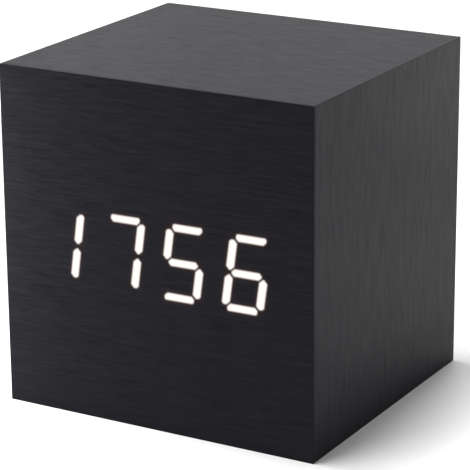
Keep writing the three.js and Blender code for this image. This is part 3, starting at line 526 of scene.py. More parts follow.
def fibreboard_finish(rear):
    """Raw fibreboard: felted fibres, and black edge paint with a worn border near the rear."""
    finish = Finish("fibreboard", specular_ior_level=0.25)
    fibres = finish.texture(*BOARD_FIBRES)
    flecks = finish.between(finish.texture(FLECK_SCALE), *FLECK_EDGES)
    board = finish.blend(finish.between(fibres, *BOARD_FIBRE_EDGES), *RAW_BOARD)
    board = finish.blend(flecks * FLECK_SHARE, board, BOARD_FLECK)
    depth = finish.axis(finish.place(), "Y") + (fibres - NOISE_MIDDLE) * PAINT_FRAY
    paint = finish.between(depth, rear - PAINT_START, rear - PAINT_FULL)
    finish.set(base_color=finish.blend(paint, board, EDGE_PAINT))
    finish.set(roughness=finish.between(paint, 0, 1, BOARD_ROUGHNESS, PAINT_ROUGHNESS))
    finish.bump(fibres, *BOARD_BUMP)
    return finish.material


# Each moulding's dark and light colour, roughness, and the width and depth of its texture.
MOULDED = {
    "black_plastic": ((0.011, 0.011, 0.012), (0.017, 0.017, 0.018), 0.48, 0.32, 0.012),
    "button_plastic": ((0.028, 0.028, 0.030), (0.038, 0.038, 0.040), 0.36, 0.5, 0.004),
    "reflector_plastic": ((0.045, 0.045, 0.047), (0.062, 0.062, 0.065), 0.55, 0.32, 0.012),
    "chip_resin": ((0.012, 0.012, 0.013), (0.018, 0.018, 0.020), 0.6, 0.25, 0.012),
    "insulator": ((0.008, 0.008, 0.009), (0.013, 0.013, 0.014), 0.5, 0.4, 0.012),
    "red_wire": ((0.30, 0.016, 0.012), (0.38, 0.024, 0.018), 0.42, 0.6, 0.004),
    "black_wire": ((0.010, 0.010, 0.011), (0.016, 0.016, 0.017), 0.42, 0.6, 0.004),
}
SPARK_NOISE = (2.0, 0.6)
SPARK_STRENGTH = 0.6
HANDLING = (0.09, 3.0)
HANDLED_SHINE = (-0.05, 0.06)  # how far handling takes the roughness down and up


def moulded_finish(name, dark, light, roughness, grain, depth):
    """Moulded plastic with a spark-eroded surface, and faint clouding from handling."""
    finish = Finish(name, specular_ior_level=0.4)
    cloud = finish.texture(*HANDLING)
    finish.set(base_color=finish.blend(finish.spread(cloud), dark, light))
    finish.set(roughness=finish.spread(cloud, *(roughness + change for change in HANDLED_SHINE)))
    finish.bump(finish.texture(1 / grain, *SPARK_NOISE), depth, SPARK_STRENGTH)
    return finish.material


GUIDE_FIBRES = ((0.07, 1, 2.4), 3.0, 0.6)
GUIDE_BODY = (0.62, 0.62, 0.60)
GUIDE_TIP = (0.05, 0.05, 0.05)
GUIDE_GLOW = ((0.93, 0.905, 0.89), (1.0, 0.99, 0.975))


def guide_finish(glow_front):
    """Milky light guide: it glows where it reaches the front, a little dimmer under the fibres."""
    finish = Finish("light_guide", roughness=0.35, emission_strength=1.0)
    fibres = finish.texture(*GUIDE_FIBRES)
    front = finish.axis(finish.place(), "Y") < glow_front
    core = finish.blend(finish.spread(fibres), *GUIDE_GLOW)
    finish.set(emission_color=finish.blend(front, DARK, core))
    finish.set(base_color=finish.blend(front, GUIDE_BODY, GUIDE_TIP))
    return finish.material


TRACK_PITCH = 1.27
TRACK_BLOCK = (5 * TRACK_PITCH, 3 * TRACK_PITCH, 1)
TRACK_EDGES = (0.36, 0.42)
LEVEL_SHARE = 0.45  # the share of the blocks whose tracks run level
PAD_SHARES = (0.25, 0.7)  # the blocks whose number lies between these have pads
PAD_PITCH = 2 * TRACK_PITCH
PAD_RADIUS = 0.17
PAD_STRAY = 0.2
SOLDER_MASK = ((0.010, 0.070, 0.030), (0.02, 0.14, 0.055))
TIN = (0.62, 0.60, 0.55)
MASK_ROUGHNESS = 0.32
TIN_ROUGHNESS = 0.28
TRACK_RISE = 0.4
TRACK_BUMP = (0.03, 0.6)


def board_finish():
    """Circuit board: green mask over copper tracks, and tinned pads.

    The board is a grid of blocks. A number drawn for each block says whether its tracks run
    level or upright, and whether it has pads.
    """
    finish = Finish("circuit_board", specular_ior_level=0.5)
    place = finish.place()
    x, z = finish.axis(place, "X"), finish.axis(place, "Z")
    face = finish.joined(x, z)
    block = finish.node("ShaderNodeVectorMath", {"operation": "SNAP"}, [face, TRACK_BLOCK])
    draw = finish.node("ShaderNodeTexWhiteNoise", {"noise_dimensions": "2D"}, [block])
    run = z + (x - z) * (draw > LEVEL_SHARE)
    tracks = finish.between(run.math("PINGPONG", TRACK_PITCH / 2), *TRACK_EDGES)
    cells = finish.node(
        "ShaderNodeTexVoronoi",
        {"feature": "F1", "voronoi_dimensions": "2D"},
        {"Vector": face, "Scale": 1 / PAD_PITCH, "Randomness": PAD_STRAY},
    )
    pads = (cells < PAD_RADIUS) * (draw < PAD_SHARES[1]) * (draw > PAD_SHARES[0])
    finish.set(base_color=finish.blend(pads, finish.blend(tracks, *SOLDER_MASK), TIN))
    finish.set(metallic=pads)
    finish.set(roughness=finish.between(pads, 0, 1, MASK_ROUGHNESS, TIN_ROUGHNESS))
    finish.bump(tracks * TRACK_RISE + pads, *TRACK_BUMP)
    return finish.material


# Each metal's colour and roughness.
METALS = {
    "plated_steel": ((0.52, 0.51, 0.49), 0.24),
    "blackened_steel": ((0.045, 0.045, 0.048), 0.34),
    "gold_plating": ((0.66, 0.44, 0.17), 0.22),
}
DRAWN_LINES = ((0.5, 6, 6), 3.0)
DRAWN_SHINE = (-0.07, 0.1)  # how far the lines take the roughness down and up
DRAWN_BUMP = (0.004, 0.4)
METAL_CLOUDS = (0.35, 3.0)
METAL_CLOUD_EDGES = (0.35, 0.75)
CLOUD_GAIN = 1.25
CLOUD_LIFT = 0.01


def metal_finish(name, colour, roughness):
    """Plated or blackened steel: drawn lines and a clouded shine."""
    finish = Finish(name, metallic=1.0)
    lines = finish.texture(*DRAWN_LINES)
    cloud = finish.between(finish.texture(*METAL_CLOUDS), *METAL_CLOUD_EDGES)
    pale = tuple(c * CLOUD_GAIN + CLOUD_LIFT for c in colour)
    finish.set(base_color=finish.blend(cloud, colour, pale))
    finish.set(roughness=finish.spread(lines, *(roughness + change for change in DRAWN_SHINE)))
    finish.bump(lines, *DRAWN_BUMP)
    return finish.material


# Places along a cell, from its negative end.
CELL_SLEEVE_START = 0.35
CELL_SLEEVE_END = 43.3
CELL_BAND_START = 34.5
CELL_BAND_END = 41.5
CELL_MOTTLE = (0.5, 3.0)
CELL_FOIL = ((0.020, 0.050, 0.095), (0.028, 0.064, 0.118))
CELL_BAND = (0.50, 0.52, 0.54)
CELL_ROUGHNESS = (0.26, 0.38)
FOIL_METALLIC = 0.45
BARE_STEEL = (0.62, 0.62, 0.64)


def cell_finish():
    """Foil sleeve of a battery: a dark body, one pale band by its positive end, bare steel ends."""
    finish = Finish("cell_sleeve", coat_weight=0.35, coat_roughness=0.15)
    along = finish.axis(finish.place(uv="grain"), "X")
    mottle = finish.texture(*CELL_MOTTLE)
    steel = (along > CELL_SLEEVE_END).math("MAXIMUM", along < CELL_SLEEVE_START)
    band = (along > CELL_BAND_START) * (along < CELL_BAND_END)
    foil = finish.blend(band, finish.blend(finish.spread(mottle), *CELL_FOIL), CELL_BAND)
    finish.set(base_color=finish.blend(steel, foil, BARE_STEEL))
    finish.set(metallic=finish.between(steel, 0, 1, FOIL_METALLIC, 1.0))
    finish.set(roughness=finish.spread(mottle, *CELL_ROUGHNESS))
    return finish.material


RIBBON_PITCH = 1.27
RIBBON_SOIL = (0.3, 3.0)
RIBBON_GREY = ((0.30, 0.305, 0.32), (0.38, 0.385, 0.40))
RIBBON_GROOVE_SHADE = (0.17, 0.17, 0.18)
GROOVE_SHADE_SHARE = 0.25  # how far the painted shade of a groove reaches towards the ridge of the rib
RIBBON_ROUGHNESS = (0.45, 0.6)
RIBBON_BUMP = (0.25, 0.8)


def ribbon_finish():
    """Flat cable: parallel ribs, one per conductor, slightly soiled, with painted shade in the grooves
    between them.
    """
    finish = Finish("grey_ribbon", specular_ior_level=0.4)
    x = finish.axis(finish.place(), "X")
    ribs = x.math("PINGPONG", RIBBON_PITCH / 2) * (2 / RIBBON_PITCH)
    soil = finish.texture(*RIBBON_SOIL)
    grey = finish.blend(finish.spread(soil), *RIBBON_GREY)
    # painted shade: the grooves between the ribs are darker, as shade falls in them
    finish.set(base_color=finish.blend(finish.between(ribs, 0, GROOVE_SHADE_SHARE), RIBBON_GROOVE_SHADE, grey))
    finish.set(roughness=finish.spread(soil, *RIBBON_ROUGHNESS))
    finish.bump(ribs.math("SINE"), *RIBBON_BUMP)
    return finish.material


INK_WEAR = (2.2, 4.0)
INK_EDGES = (0.3, 0.62)
INK = ((0.30, 0.30, 0.31), (0.56, 0.56, 0.57))
INK_ROUGHNESS = (0.5, 0.7)


def ink_finish():
    """Pale grey pad printing, slightly worn."""
    finish = Finish("printed_marks", specular_ior_level=0.3)
    wear = finish.texture(*INK_WEAR)
    finish.set(base_color=finish.blend(finish.between(wear, *INK_EDGES), *INK))
    finish.set(roughness=finish.spread(wear, *INK_ROUGHNESS))
    return finish.material


# Case

FOLD_RADIUS = 0.15
FOLD_GUARD = 0.1
VENEER_THICKNESS = 0.35
SHEET_EDGE = 0.05
SHEET_GUARD = 4 * SHEET_EDGE
FRONT_ROUNDING = 0.06
GRID_FINE = 0.2
GRID_COARSE = 6
STRIP_START = 400.0  # puts the sides' part of the veneer's pattern away from the front's


def strip_loop(width, height):
    """The folded strip's outline with a guard point on each side of every fold, and its normals.

    Each fold is a quarter circle. The outline starts at the lower left fold and runs upwards.
    """
    angle = np.linspace(0, math.pi / 2, FINE)
    points, normals = [], []
    for turn in range(4):
        base = math.pi - turn * math.pi / 2
        way = base - angle
        outward = np.stack([np.cos(way), np.sin(way)], axis=1)
        sign = np.sign(np.cos(base - math.pi / 4)), np.sign(np.sin(base - math.pi / 4))
        centre = np.array([sign[0] * (width / 2 - FOLD_RADIUS), sign[1] * (height / 2 - FOLD_RADIUS)])
        arc = centre + FOLD_RADIUS * outward
        along = np.stack([-np.sin(way), np.cos(way)], axis=1)
        before = arc[0] + FOLD_GUARD * along[0]
        after = arc[-1] - FOLD_GUARD * along[-1]
        points += [before[None], arc, after[None]]
        normals += [outward[:1], outward, outward[-1:]]
    return np.concatenate(points), np.concatenate(normals)


def side_veneer(finish):
    """The strip round the four sides: its outline carried round a thin rounded cross-section.

    Each row of the section holds how far the outline is moved inwards, and its y. The section
    runs along the outer face, round the rear edge, back along the inner face and round the front.
    """
    low, high = node_box("side_veneer")
    outline, normals = strip_loop(high[0] - low[0], high[2] - low[2])
    front, rear, edge, inner = low[1], high[1], SHEET_EDGE, VENEER_THICKNESS
    section = np.array([
        (0, front + edge),
        (0, front + SHEET_GUARD),
        (0, rear - SHEET_GUARD),
        (0, rear - edge),
        (edge, rear),
        (inner - edge, rear),
        (inner, rear - edge),
        (inner, front + edge),
        (inner - edge, front),
        (edge, front),
    ])
    inward = outline[None] - section[:, :1, None] * normals[None]
    levels = np.repeat(section[:, 1:], len(outline), axis=1)
    points = np.stack([inward[..., 0], levels, inward[..., 1] + (low[2] + high[2]) / 2], axis=-1)
    strip = Skin(points, closed=True)
    piece = build("side_veneer_strip", [strip], finish, "black_veneer", replaces=("side_veneer",))
    grain_map(piece.data, lambda p: strip_grain(p, low, high))


def strip_grain(points, low, high):
    """u runs round the cube with the strip and v across it: sideways on top, upwards on the sides."""
    x, y, z = points.T
    width, height = high[0] - low[0], high[2] - low[2]
    to_left, to_right = x - low[0], high[0] - x
    to_top, to_bottom = high[2] - z, z - low[2]
    nearest = np.argmin([to_left, to_top, to_right, to_bottom], axis=0)
    runs = [to_bottom, height + to_left, height + width + to_top, 2 * height + width + to_right]
    return np.stack([np.choose(nearest, runs), y + STRIP_START], axis=1)


def sheet_lines(half, fine_low, fine_high):
    """Where the front sheet's grid lines cross an edge: each line's place and how far it rounds.

    The place stays inside the corners' centres. The second value is what the line adds past
    them: r tan(a), so that the lines cut a corner's arc at even angles.
    """
    inner = half - FOLD_RADIUS
    body = np.concatenate([
        np.linspace(-inner, fine_low, GRID_COARSE, endpoint=False),
        np.arange(fine_low, fine_high, GRID_FINE),
        np.linspace(fine_high, inner, GRID_COARSE),
    ])
    arc = FOLD_RADIUS * np.tan(np.linspace(0, math.pi / 4, FINE))[1:]
    place = np.concatenate([np.full(len(arc), -inner), body, np.full(len(arc), inner)])
    past = np.concatenate([-arc[::-1], np.zeros(len(body)), arc])
    return place, past


def sheet_points(columns, rows, inset):
    """The grid of the sheet, drawn in by inset: a corner's square of lines is bent to its arc.

    A point (a, b) past a corner's centre moves to the length max(|a|, |b|) on its own ray.
    """
    share = (FOLD_RADIUS - inset) / FOLD_RADIUS
    past_x, past_z = np.meshgrid(columns[1] * share, rows[1] * share, indexing="ij")
    ray = np.hypot(past_x, past_z)
    bend = np.maximum(np.abs(past_x), np.abs(past_z)) / np.where(ray > 0, ray, 1)
    x, z = np.meshgrid(columns[0], rows[0], indexing="ij")
    return np.stack([x + past_x * bend, z + past_z * bend], axis=-1)


def border(grid):
    """The closed line of a grid's outer points."""
    return np.concatenate([grid[:-1, 0], grid[-1, :-1], grid[:0:-1, -1], grid[0, :0:-1]])


def front_veneer(finish):
    """The front sheet: a grid that is fine over the figures, a rounded rim and a plain back.

    Each ring of the rim is the border of the same grid, drawn in by the ring's inset.
    """
    low, high = node_box("front_veneer")
    centre, half = (low + high) / 2, (high - low) / 2
    left, right = node_box(GUIDES[0])[0] - GLOW_SPILL, node_box(GUIDES[-1])[1] + GLOW_SPILL
    columns = sheet_lines(half[0], left[0], right[0])
    rows = sheet_lines(half[2], left[2] - centre[2], right[2] - centre[2])

    insets, levels = rounded_rims(FRONT_ROUNDING, low[1], high[1], MEDIUM)
    rings = [border(sheet_points(columns, rows, inset)) for inset in insets]
    rim = prism(rings, levels, (centre[0], 0, centre[2])).points[1:]

    face = sheet_points(columns, rows, FRONT_ROUNDING) + centre[[0, 2]]
    face = np.stack([face[..., 0], np.full(face.shape[:2], low[1]), face[..., 1]], axis=-1)
    across, up = face.shape[:2]
    points = np.concatenate([face.reshape(-1, 3), rim.reshape(-1, 3)])
    faces = [grid_faces(across, up, ring=False), grid_faces(*rim.shape[:2]) + across * up]
    mesh = write_mesh("front_veneer_sheet", points, np.concatenate(faces))
    show("front_veneer_sheet", mesh, finish, "black_veneer", replaces=("front_veneer",))
    grain_map(mesh, lambda p: p[:, [0, 2]])
    layer = mesh.attributes.new("to_light", "FLOAT", "POINT")
    layer.data.foreach_set("value", distance_to_light(read_points(mesh)).astype(np.float32))


def distance_to_light(points):
    """Distance from each point to the nearest lit segment, less than 0 inside it.

    Each segment is its outline drawn in by its rounding, then grown again by a circle: the
    distance to the drawn-in outline, less the rounding. Behind the front face nothing is lit.
    The points are turned and moved the other way instead of the display.
    """
    pivot = np.mean(figure_centres(), axis=0)
    cosine, sine = math.cos(DISPLAY_TURN), math.sin(DISPLAY_TURN)
    turn_back = np.array([[cosine, -sine], [sine, cosine]])
    place = (points[:, [0, 2]] - pivot - DISPLAY_SHIFT) @ turn_back + pivot
    nearest = np.full(len(points), FAR_FROM_LIGHT)
    for lit, centre in zip(LIT, figure_centres()):
        for name in lit:
            corners = segment_corners(name, centre, -GLOW_ROUNDING)
            sides = np.roll(corners, -1, axis=0) - corners
            offset = place[:, None] - corners
            share = np.clip((offset * sides).sum(-1) / (sides**2).sum(-1), 0, 1)
            apart = np.linalg.norm(offset - share[..., None] * sides, axis=-1).min(axis=1)
            turn = sides[:, 0] * offset[..., 1] - sides[:, 1] * offset[..., 0]
            inside = (turn >= 0).all(axis=1) | (turn <= 0).all(axis=1)
            nearest = np.minimum(nearest, np.where(inside, -apart, apart) - GLOW_ROUNDING)
    behind = points[:, 1] > points[:, 1].min() + FRONT_ROUNDING / 2
    return np.where(behind, FAR_FROM_LIGHT, nearest)


# Figures of the display

LIT = ["bc", "abc", "acdfg", "acdefg"]
GUIDES = [f"digit_{i + 1}_light_guide" for i in range(len(LIT))]
LEVEL_SEGMENTS = {"a": 1, "g": 0, "d": -1}
UPRIGHT_SEGMENTS = {"b": (1, 1), "c": (1, -1), "e": (-1, -1), "f": (-1, 1)}
FIGURE_SPAN = 6.43
FIGURE_RISE = 6.07
LEVEL_WIDTH = 1.37
UPRIGHT_WIDTH = 1.58
SEGMENT_GAP = 0.28
TIP_FLAT = 0.06
CORNER_FLAT = 0.31
SEGMENT_ROUNDING = 0.3
SEGMENT_STEPS = 6
SEGMENT_DOME = 0.1
EASED_SHARE = 0.45  # the most of a side that one of its rounded corners may take
GLOW_ROUNDING = 0.25
GLOW_SOFTNESS = 0.24
GLOW_SPILL = 1.2
FAR_FROM_LIGHT = 9.0
DISPLAY_SHIFT = (0.02, -0.08)  # the display sits in the case moved and turned by a hair
DISPLAY_TURN = math.radians(0.36)
GUIDE_CLEARANCE = 0.03
GUIDE_RECESS = 0.2
GUIDE_BACKING = 0.8
BACKING_ROUNDING = 0.4
SLOPE = math.tan(math.radians(8.37))


def figure_centres():
    """x and z of the middle of each figure."""
    return [face_middle(node) for node in GUIDES]


def eased(corners, radius, steps):
    """An outline whose corners are quadratic curves, each starting radius away from its corner."""
    def towards(others):
        length = np.linalg.norm(others - corners, axis=1, keepdims=True)
        return corners + (others - corners) * np.minimum(radius / length, EASED_SHARE)

    start, end = towards(np.roll(corners, 1, axis=0)), towards(np.roll(corners, -1, axis=0))
    t = np.linspace(0, 1, steps)[None, :, None]
    curve = (1 - t) ** 2 * start[:, None] + 2 * t * (1 - t) * corners[:, None] + t**2 * end[:, None]
    return curve.reshape(-1, 2)


def segment_end(reach, half, grow, at_corner):
    """One end of a segment, from its inner edge round its tip to its outer edge.

    The end closes in at 45 degrees, half a gap away from the line to the next segment's end.
    """
    tip = reach - (SEGMENT_GAP / 2 - grow) * math.sqrt(2)
    outer = CORNER_FLAT if at_corner else TIP_FLAT
    side = half + grow
    shoulder = tip - TIP_FLAT - (side - outer) if at_corner else tip - side
    return [(tip - side, -side), (tip - TIP_FLAT, -TIP_FLAT), (tip - TIP_FLAT, outer), (shoulder, side)]


def segment_corners(name, centre, grow):
    """Corners of a segment: drawn along its own length, set in its figure, then slanted."""
    level = name in LEVEL_SEGMENTS
    sideways, upwards = (0, LEVEL_SEGMENTS[name]) if level else UPRIGHT_SEGMENTS[name]
    reach, half = (FIGURE_SPAN / 2, LEVEL_WIDTH / 2) if level else (FIGURE_RISE / 2, UPRIGHT_WIDTH / 2)
    at_corner = upwards != 0 if level else True
    far = segment_end(reach, half, grow, at_corner)
    near = [(-s, t) for s, t in segment_end(reach, half, grow, level and at_corner)]
    length, side = np.array(far + near[::-1]).T
    if level:
        u, v = length, upwards * FIGURE_RISE + (upwards or 1) * side
    else:
        u, v = sideways * (FIGURE_SPAN / 2 + side), upwards * (FIGURE_RISE / 2 + length)
    return np.stack([u + v * SLOPE, v], axis=1) + centre


def post(name, centre, front, back):
    """A guide's post: the segment's outline, drawn in towards its domed tip by a quarter circle."""
    angle = np.linspace(0, math.pi / 2, MEDIUM)
    grows = np.append(SEGMENT_DOME * (np.sin(angle) - 1), 0)
    levels = np.append(front + SEGMENT_DOME * (1 - np.cos(angle)), back)
    outlines = [eased(segment_corners(name, centre, g), SEGMENT_ROUNDING, SEGMENT_STEPS) for g in grows]
    return prism(outlines, levels)


def light_guides(finish):
    """Each figure's guide: seven posts on a slanted backing plate, the lit ones up to the veneer."""
    recess = node_box("display_reflector")[0][1] + GUIDE_RECESS
    veneer = node_box("front_veneer")[1][1] + GUIDE_CLEARANCE
    for node, lit, centre in zip(GUIDES, LIT, figure_centres()):
        low, high = node_box(node)
        root = high[1] - GUIDE_BACKING
        skins = [
            post(name, centre, veneer if name in lit else recess, root + GUIDE_BACKING / 2)
            for name in (*LEVEL_SEGMENTS, *UPRIGHT_SEGMENTS)
        ]
        rise = (high[2] - low[2]) / 2
        half = (high[0] - low[0]) / 2 - rise * SLOPE
        corners = np.array([(-half, -rise), (half, -rise), (half, rise), (-half, rise)])
        corners[:, 0] += corners[:, 1] * SLOPE
        outline = eased(corners + centre, BACKING_ROUNDING, MEDIUM)
        skins.append(prism(outline, (root, high[1])))
        name = node.replace("light_guide", "guide_and_posts")
        build(name, skins, finish, "light_guide", replaces=(node,))


# Screws

# Each kind's count, radius of its shank, and radius and height of its head.
SCREW_KINDS = {
    "rear_screw": (4, 1.1, 1.9, 1.0),
    "display_screw": (4, 0.8, 1.6, 1.1),
    "main_board_screw": (2, 0.8, 1.5, 1.0),
}
SCREW_SIDES = 48
SCREW_ROWS = 120
SCREW_SPIN = 0.5  # how far each screw is turned past the one before, in radians
THREAD_PITCH = 0.8
THREAD_DEPTH = 0.16
THREAD_SHARPNESS = 1.6
TIP_SHARE = 0.08
# Shares of the head's radius and height, from under its rim to where its dome begins.
HEAD_PROFILE = ((0.93, 0), (1, 0.08), (1, 0.45))
DOME_ANGLES = 9
RECESS_BLADE = (0.62, 0.14)
RECESS_TAPER = (0.7, 1.1)
RECESS_ROUNDING = 0.4
RECESS_FLOOR = 0.3
RECESS_OVERRUN = 0.4


def screw_mesh(name, shank, head, head_height, length):
    """A screw on the axis of y, tip towards -y: a domed head, a threaded shank and a cross recess.

    The shank's radius at height y and angle a is its core plus a ridge, which rises and falls
    once per pitch of the helix y / pitch + a / turn.
    """
    height = np.linspace(-length, 0, SCREW_ROWS)[:, None]
    angle = np.linspace(0, math.tau, SCREW_SIDES, endpoint=False)[None]
    phase = (height / THREAD_PITCH + angle / math.tau) % 1.0
    ridge = THREAD_DEPTH * np.clip(1 - np.abs(phase * 2 - 1) * THREAD_SHARPNESS, 0, 1)
    radius = (shank - THREAD_DEPTH + ridge) * np.clip((height + length) / shank, TIP_SHARE, 1.0)
    shaft = np.stack([radius * np.cos(angle), height + 0 * angle, radius * np.sin(angle)], axis=-1)
    profile = [(shank, 0), *((head * r, head_height * h) for r, h in HEAD_PROFILE)]
    flat = profile[-1][1]
    dome = np.linspace(0, math.pi / 2, DOME_ANGLES)[1:]
    profile += zip(head * (0.5 + 0.5 * np.cos(dome)), flat + (head_height - flat) * np.sin(dome))
    cap = turned([*profile, (0, head_height)], SCREW_SIDES, (0, 0, 0)).points
    tip = np.zeros((1, SCREW_SIDES, 3)) + np.array([0, -length, 0])
    mesh = skin_mesh(name, [Skin(np.concatenate([tip, shaft, cap]))])
    return cross_recess(mesh, head, head_height)


def cross_recess(mesh, head, head_height):
    """Cuts a cross of two tapering blades into the top of a screw's head."""
    screw = put("screw", mesh)
    levels = (head_height * RECESS_FLOOR, head_height + RECESS_OVERRUN)
    blades = []
    for sizes in (RECESS_BLADE, RECESS_BLADE[::-1]):
        outlines = []
        for share in RECESS_TAPER:
            a, b = (head * size * share for size in sizes)
            outlines.append(rounded_rectangle(2 * a, 2 * b, min(a, b) * RECESS_ROUNDING, COARSE))
        blade = put("blade", skin_mesh("blade", [prism(outlines, levels)]))
        cut = screw.modifiers.new("recess", "BOOLEAN")
        cut.operation, cut.object, cut.solver = "DIFFERENCE", blade, "EXACT"
        blades.append(blade)
    mesh = baked(screw)
    for blade in blades:
        bpy.data.objects.remove(blade)
    return mesh


def screws(finish):
    """Every screw, in the place of its node, with its head facing away from what it holds."""
    for kind, (count, shank, head, head_height) in SCREW_KINDS.items():
        low, high = node_box(f"{kind}_1")
        master = screw_mesh(kind, shank, head, head_height, high[1] - low[1] - head_height)
        flipped = kind == "main_board_screw"
        turn = Matrix.Rotation(math.pi if flipped else 0, 4, "X")
        for number in range(1, count + 1):
            node = f"{kind}_{number}"
            low, high = node_box(node)
            x, z = face_middle(node)
            seat = low[1] + head_height if flipped else high[1] - head_height
            spin = Matrix.Rotation(SCREW_SPIN * number, 4, "Y")
            mesh = master.copy()
            mesh.transform(Matrix.Translation(Vector((x, seat, z)) * MM) @ turn @ spin)
            show(f"{node}_threaded", mesh, finish, "blackened_steel", replaces=(node,))


# What is on the rear panel

BUTTON_SIDES = 64
BUTTON_RADIUS = 2.5
BUTTON_ROUNDING = 0.35
BUTTON_FLANGE = 0.8
BUTTON_CHAMFER = 0.1
BUTTON_RIM = 0.55
BUTTON_DISH = 0.22
DISH_STEPS = 8
PLUNGER_SIDES = 32
PLUNGER_ROUNDING = 0.2
MARK_PROUD = 0.06
MARK_SINK = 0.02
MARK_LIFT = 4.35
TRIANGLE_RADIUS = 0.93
TRIANGLE_ROUNDING = 0.12
WORD_SIZE = 1.725
# Corners of the middle contact strip, from the middle of the tongue's rear end.
STRIP_CORNERS = ((-0.16, -3.9, -0.41), (0.16, -0.5, -0.33))
STRIP_ROUNDING = 0.03
STRIP_SPREAD = 1.3
STRIP_COUNT = 5
FELT_INSET = 0.4
FELT_PROUD = 0.12
FELT_SINK = 0.05
FELT_ROUNDING = 0.08
FELT_SIDES = 40


def buttons(cap_finish, plunger_finish):
    """Turned caps with a shallow dish, each on its own body with its switch plunger.

    The dish is a parabola: its depth falls from the middle to the rim with the radius squared.
    """
    edge = BUTTON_CHAMFER
    for key in KEYS:
        low, high = node_box(f"{key}_button")
        x, z = face_middle(f"{key}_button")
        flange, collar = (high[0] - low[0]) / 2, low[1] + BUTTON_FLANGE
        dish = np.linspace(0, BUTTON_RADIUS - BUTTON_RIM, DISH_STEPS)
        profile = [(r, high[1] - BUTTON_DISH * (1 - (r / dish[-1]) ** 2)) for r in dish]
        profile += rounded_step(BUTTON_RADIUS, low[1], high[1], BUTTON_ROUNDING, FINE)
        profile += [(BUTTON_RADIUS, collar), (flange - edge, collar), (flange, collar - edge)]
        profile += [(flange, low[1] + edge), (flange - edge, low[1]), (0, low[1])]
        cap = turned(profile, BUTTON_SIDES, (x, 0, z))
        placing = {"body": f"{key}_key", "replaces": (f"{key}_button",)}
        build(f"{key}_button_cap", [cap], cap_finish, "button_plastic", **placing)

        low, high = node_box(f"{key}_switch_plunger")
        radius = (high[0] - low[0]) / 2
        step = rounded_step(radius, low[1], high[1], PLUNGER_ROUNDING)
        profile = [(0, low[1]), (radius, low[1]), *step[::-1], (0, high[1])]
        stem = turned(profile, PLUNGER_SIDES, (x, 0, z))
        placing = {"body": f"{key}_key", "replaces": (f"{key}_switch_plunger",)}
        build(f"{key}_plunger_stem", [stem], plunger_finish, "insulator", **placing)


def printed_marks(finish):
    """Plain marks over the buttons: the word SET, and a triangle down and up."""
    face = node_box("rear_panel")[1][1]
    places = {key: face_middle(f"{key}_button") + (0, MARK_LIFT) for key in KEYS}
    angle = np.radians([90, 210, 330])
    for key, way in (("down", -1), ("up", 1)):
        corners = TRIANGLE_RADIUS * np.stack([np.cos(angle), way * np.sin(angle)], axis=1)
        outline = eased(corners + places[key], TRIANGLE_ROUNDING, MEDIUM)
        mark = prism(outline, (face - MARK_SINK, face + MARK_PROUD))
        build(f"{key}_mark", [mark], finish, "button_plastic")
    word = bpy.data.curves.new("set_mark", "FONT")
    word.body = "SET"
    word.size = WORD_SIZE * MM
    word.extrude = MARK_PROUD / 2 * MM
    word.align_x, word.align_y = "CENTER", "CENTER"
    mesh = baked(put("set_mark", word))
    stand = Matrix.Rotation(math.pi, 4, "Z") @ Matrix.Rotation(math.pi / 2, 4, "X")
    x, z = places["set"]
    place = Vector((x, face + (MARK_PROUD - MARK_SINK) / 2, z))
    mesh.transform(Matrix.Translation(place * MM) @ stand)
    clean(mesh)
    show("set_mark", mesh, finish, "button_plastic")


def socket_contacts(finish):
    """Thin contact strips side by side, along the lower face of the power socket's tongue."""
    x, z = face_middle("power_socket_tongue")
    corners = np.array([x, node_box("power_socket_tongue")[1][1], z]) + STRIP_CORNERS
    places = np.linspace(-STRIP_SPREAD, STRIP_SPREAD, STRIP_COUNT)
    skins = [slab(*(corners + (place, 0, 0)), STRIP_ROUNDING) for place in places]
    build("power_socket_contacts", skins, finish, "plated_steel")


def microphone_felt(finish):
    """The round felt on the microphone's face, behind its hole in the rear panel."""
    low, high = node_box("microphone")
    x, z = face_middle("microphone")
    radius = (high[0] - low[0]) / 2 - FELT_INSET
    back, face = high[1] - FELT_SINK, high[1] + FELT_PROUD
    step = rounded_step(radius, back, face, FELT_ROUNDING)
    felt = turned([(0, face), *step, (radius, back), (0, back)], FELT_SIDES, (x, 0, z))
    build("microphone_felt", [felt], finish, "insulator")


# Batteries and their contacts

# A cell's half outline as radius and height. Between its side and its nub is the crimped rim,
# a half circle given by the radius and height of its centre and its own radius.
CELL_SIDE = [(0, 0.12), (3.6, 0.12), (3.9, 0), (4.8, 0), (5.1, 0.1), (5.25, 0.4), (5.25, 43.1)]
CELL_CRIMP = (4.9, 43.25, 0.3)
CELL_NUB = [(4.35, 43.05), (2.4, 43.3), (1.9, 43.6), (1.9, 44.25), (1.65, 44.5), (0, 44.5)]
CELL_SIDES = 64
SPRING_TURNS = 2.5
SPRING_WIRE = 0.35
SPRING_BASE = 3.3
SPRING_TIP = 2.1
SPRING_RISE = 0.86
SPRING_ROWS = 120
SPRING_SIDES = 12
CONTACT_THICKNESS = 0.4
CONTACT_ROUNDING = 0.12
TAB_HALF_WIDTH = 1.5
TAB_OVERLAP = 0.2
# Each contact's side, the cells that its springs press on, and whether it has a solder tab.
CONTACTS = {
    "battery_contact_positive": (-1, (), True),
    "battery_contact_link_left": (-1, (2,), False),
    "battery_contact_link_right": (1, (1,), False),
    "battery_contact_negative": (1, (3,), True),
}


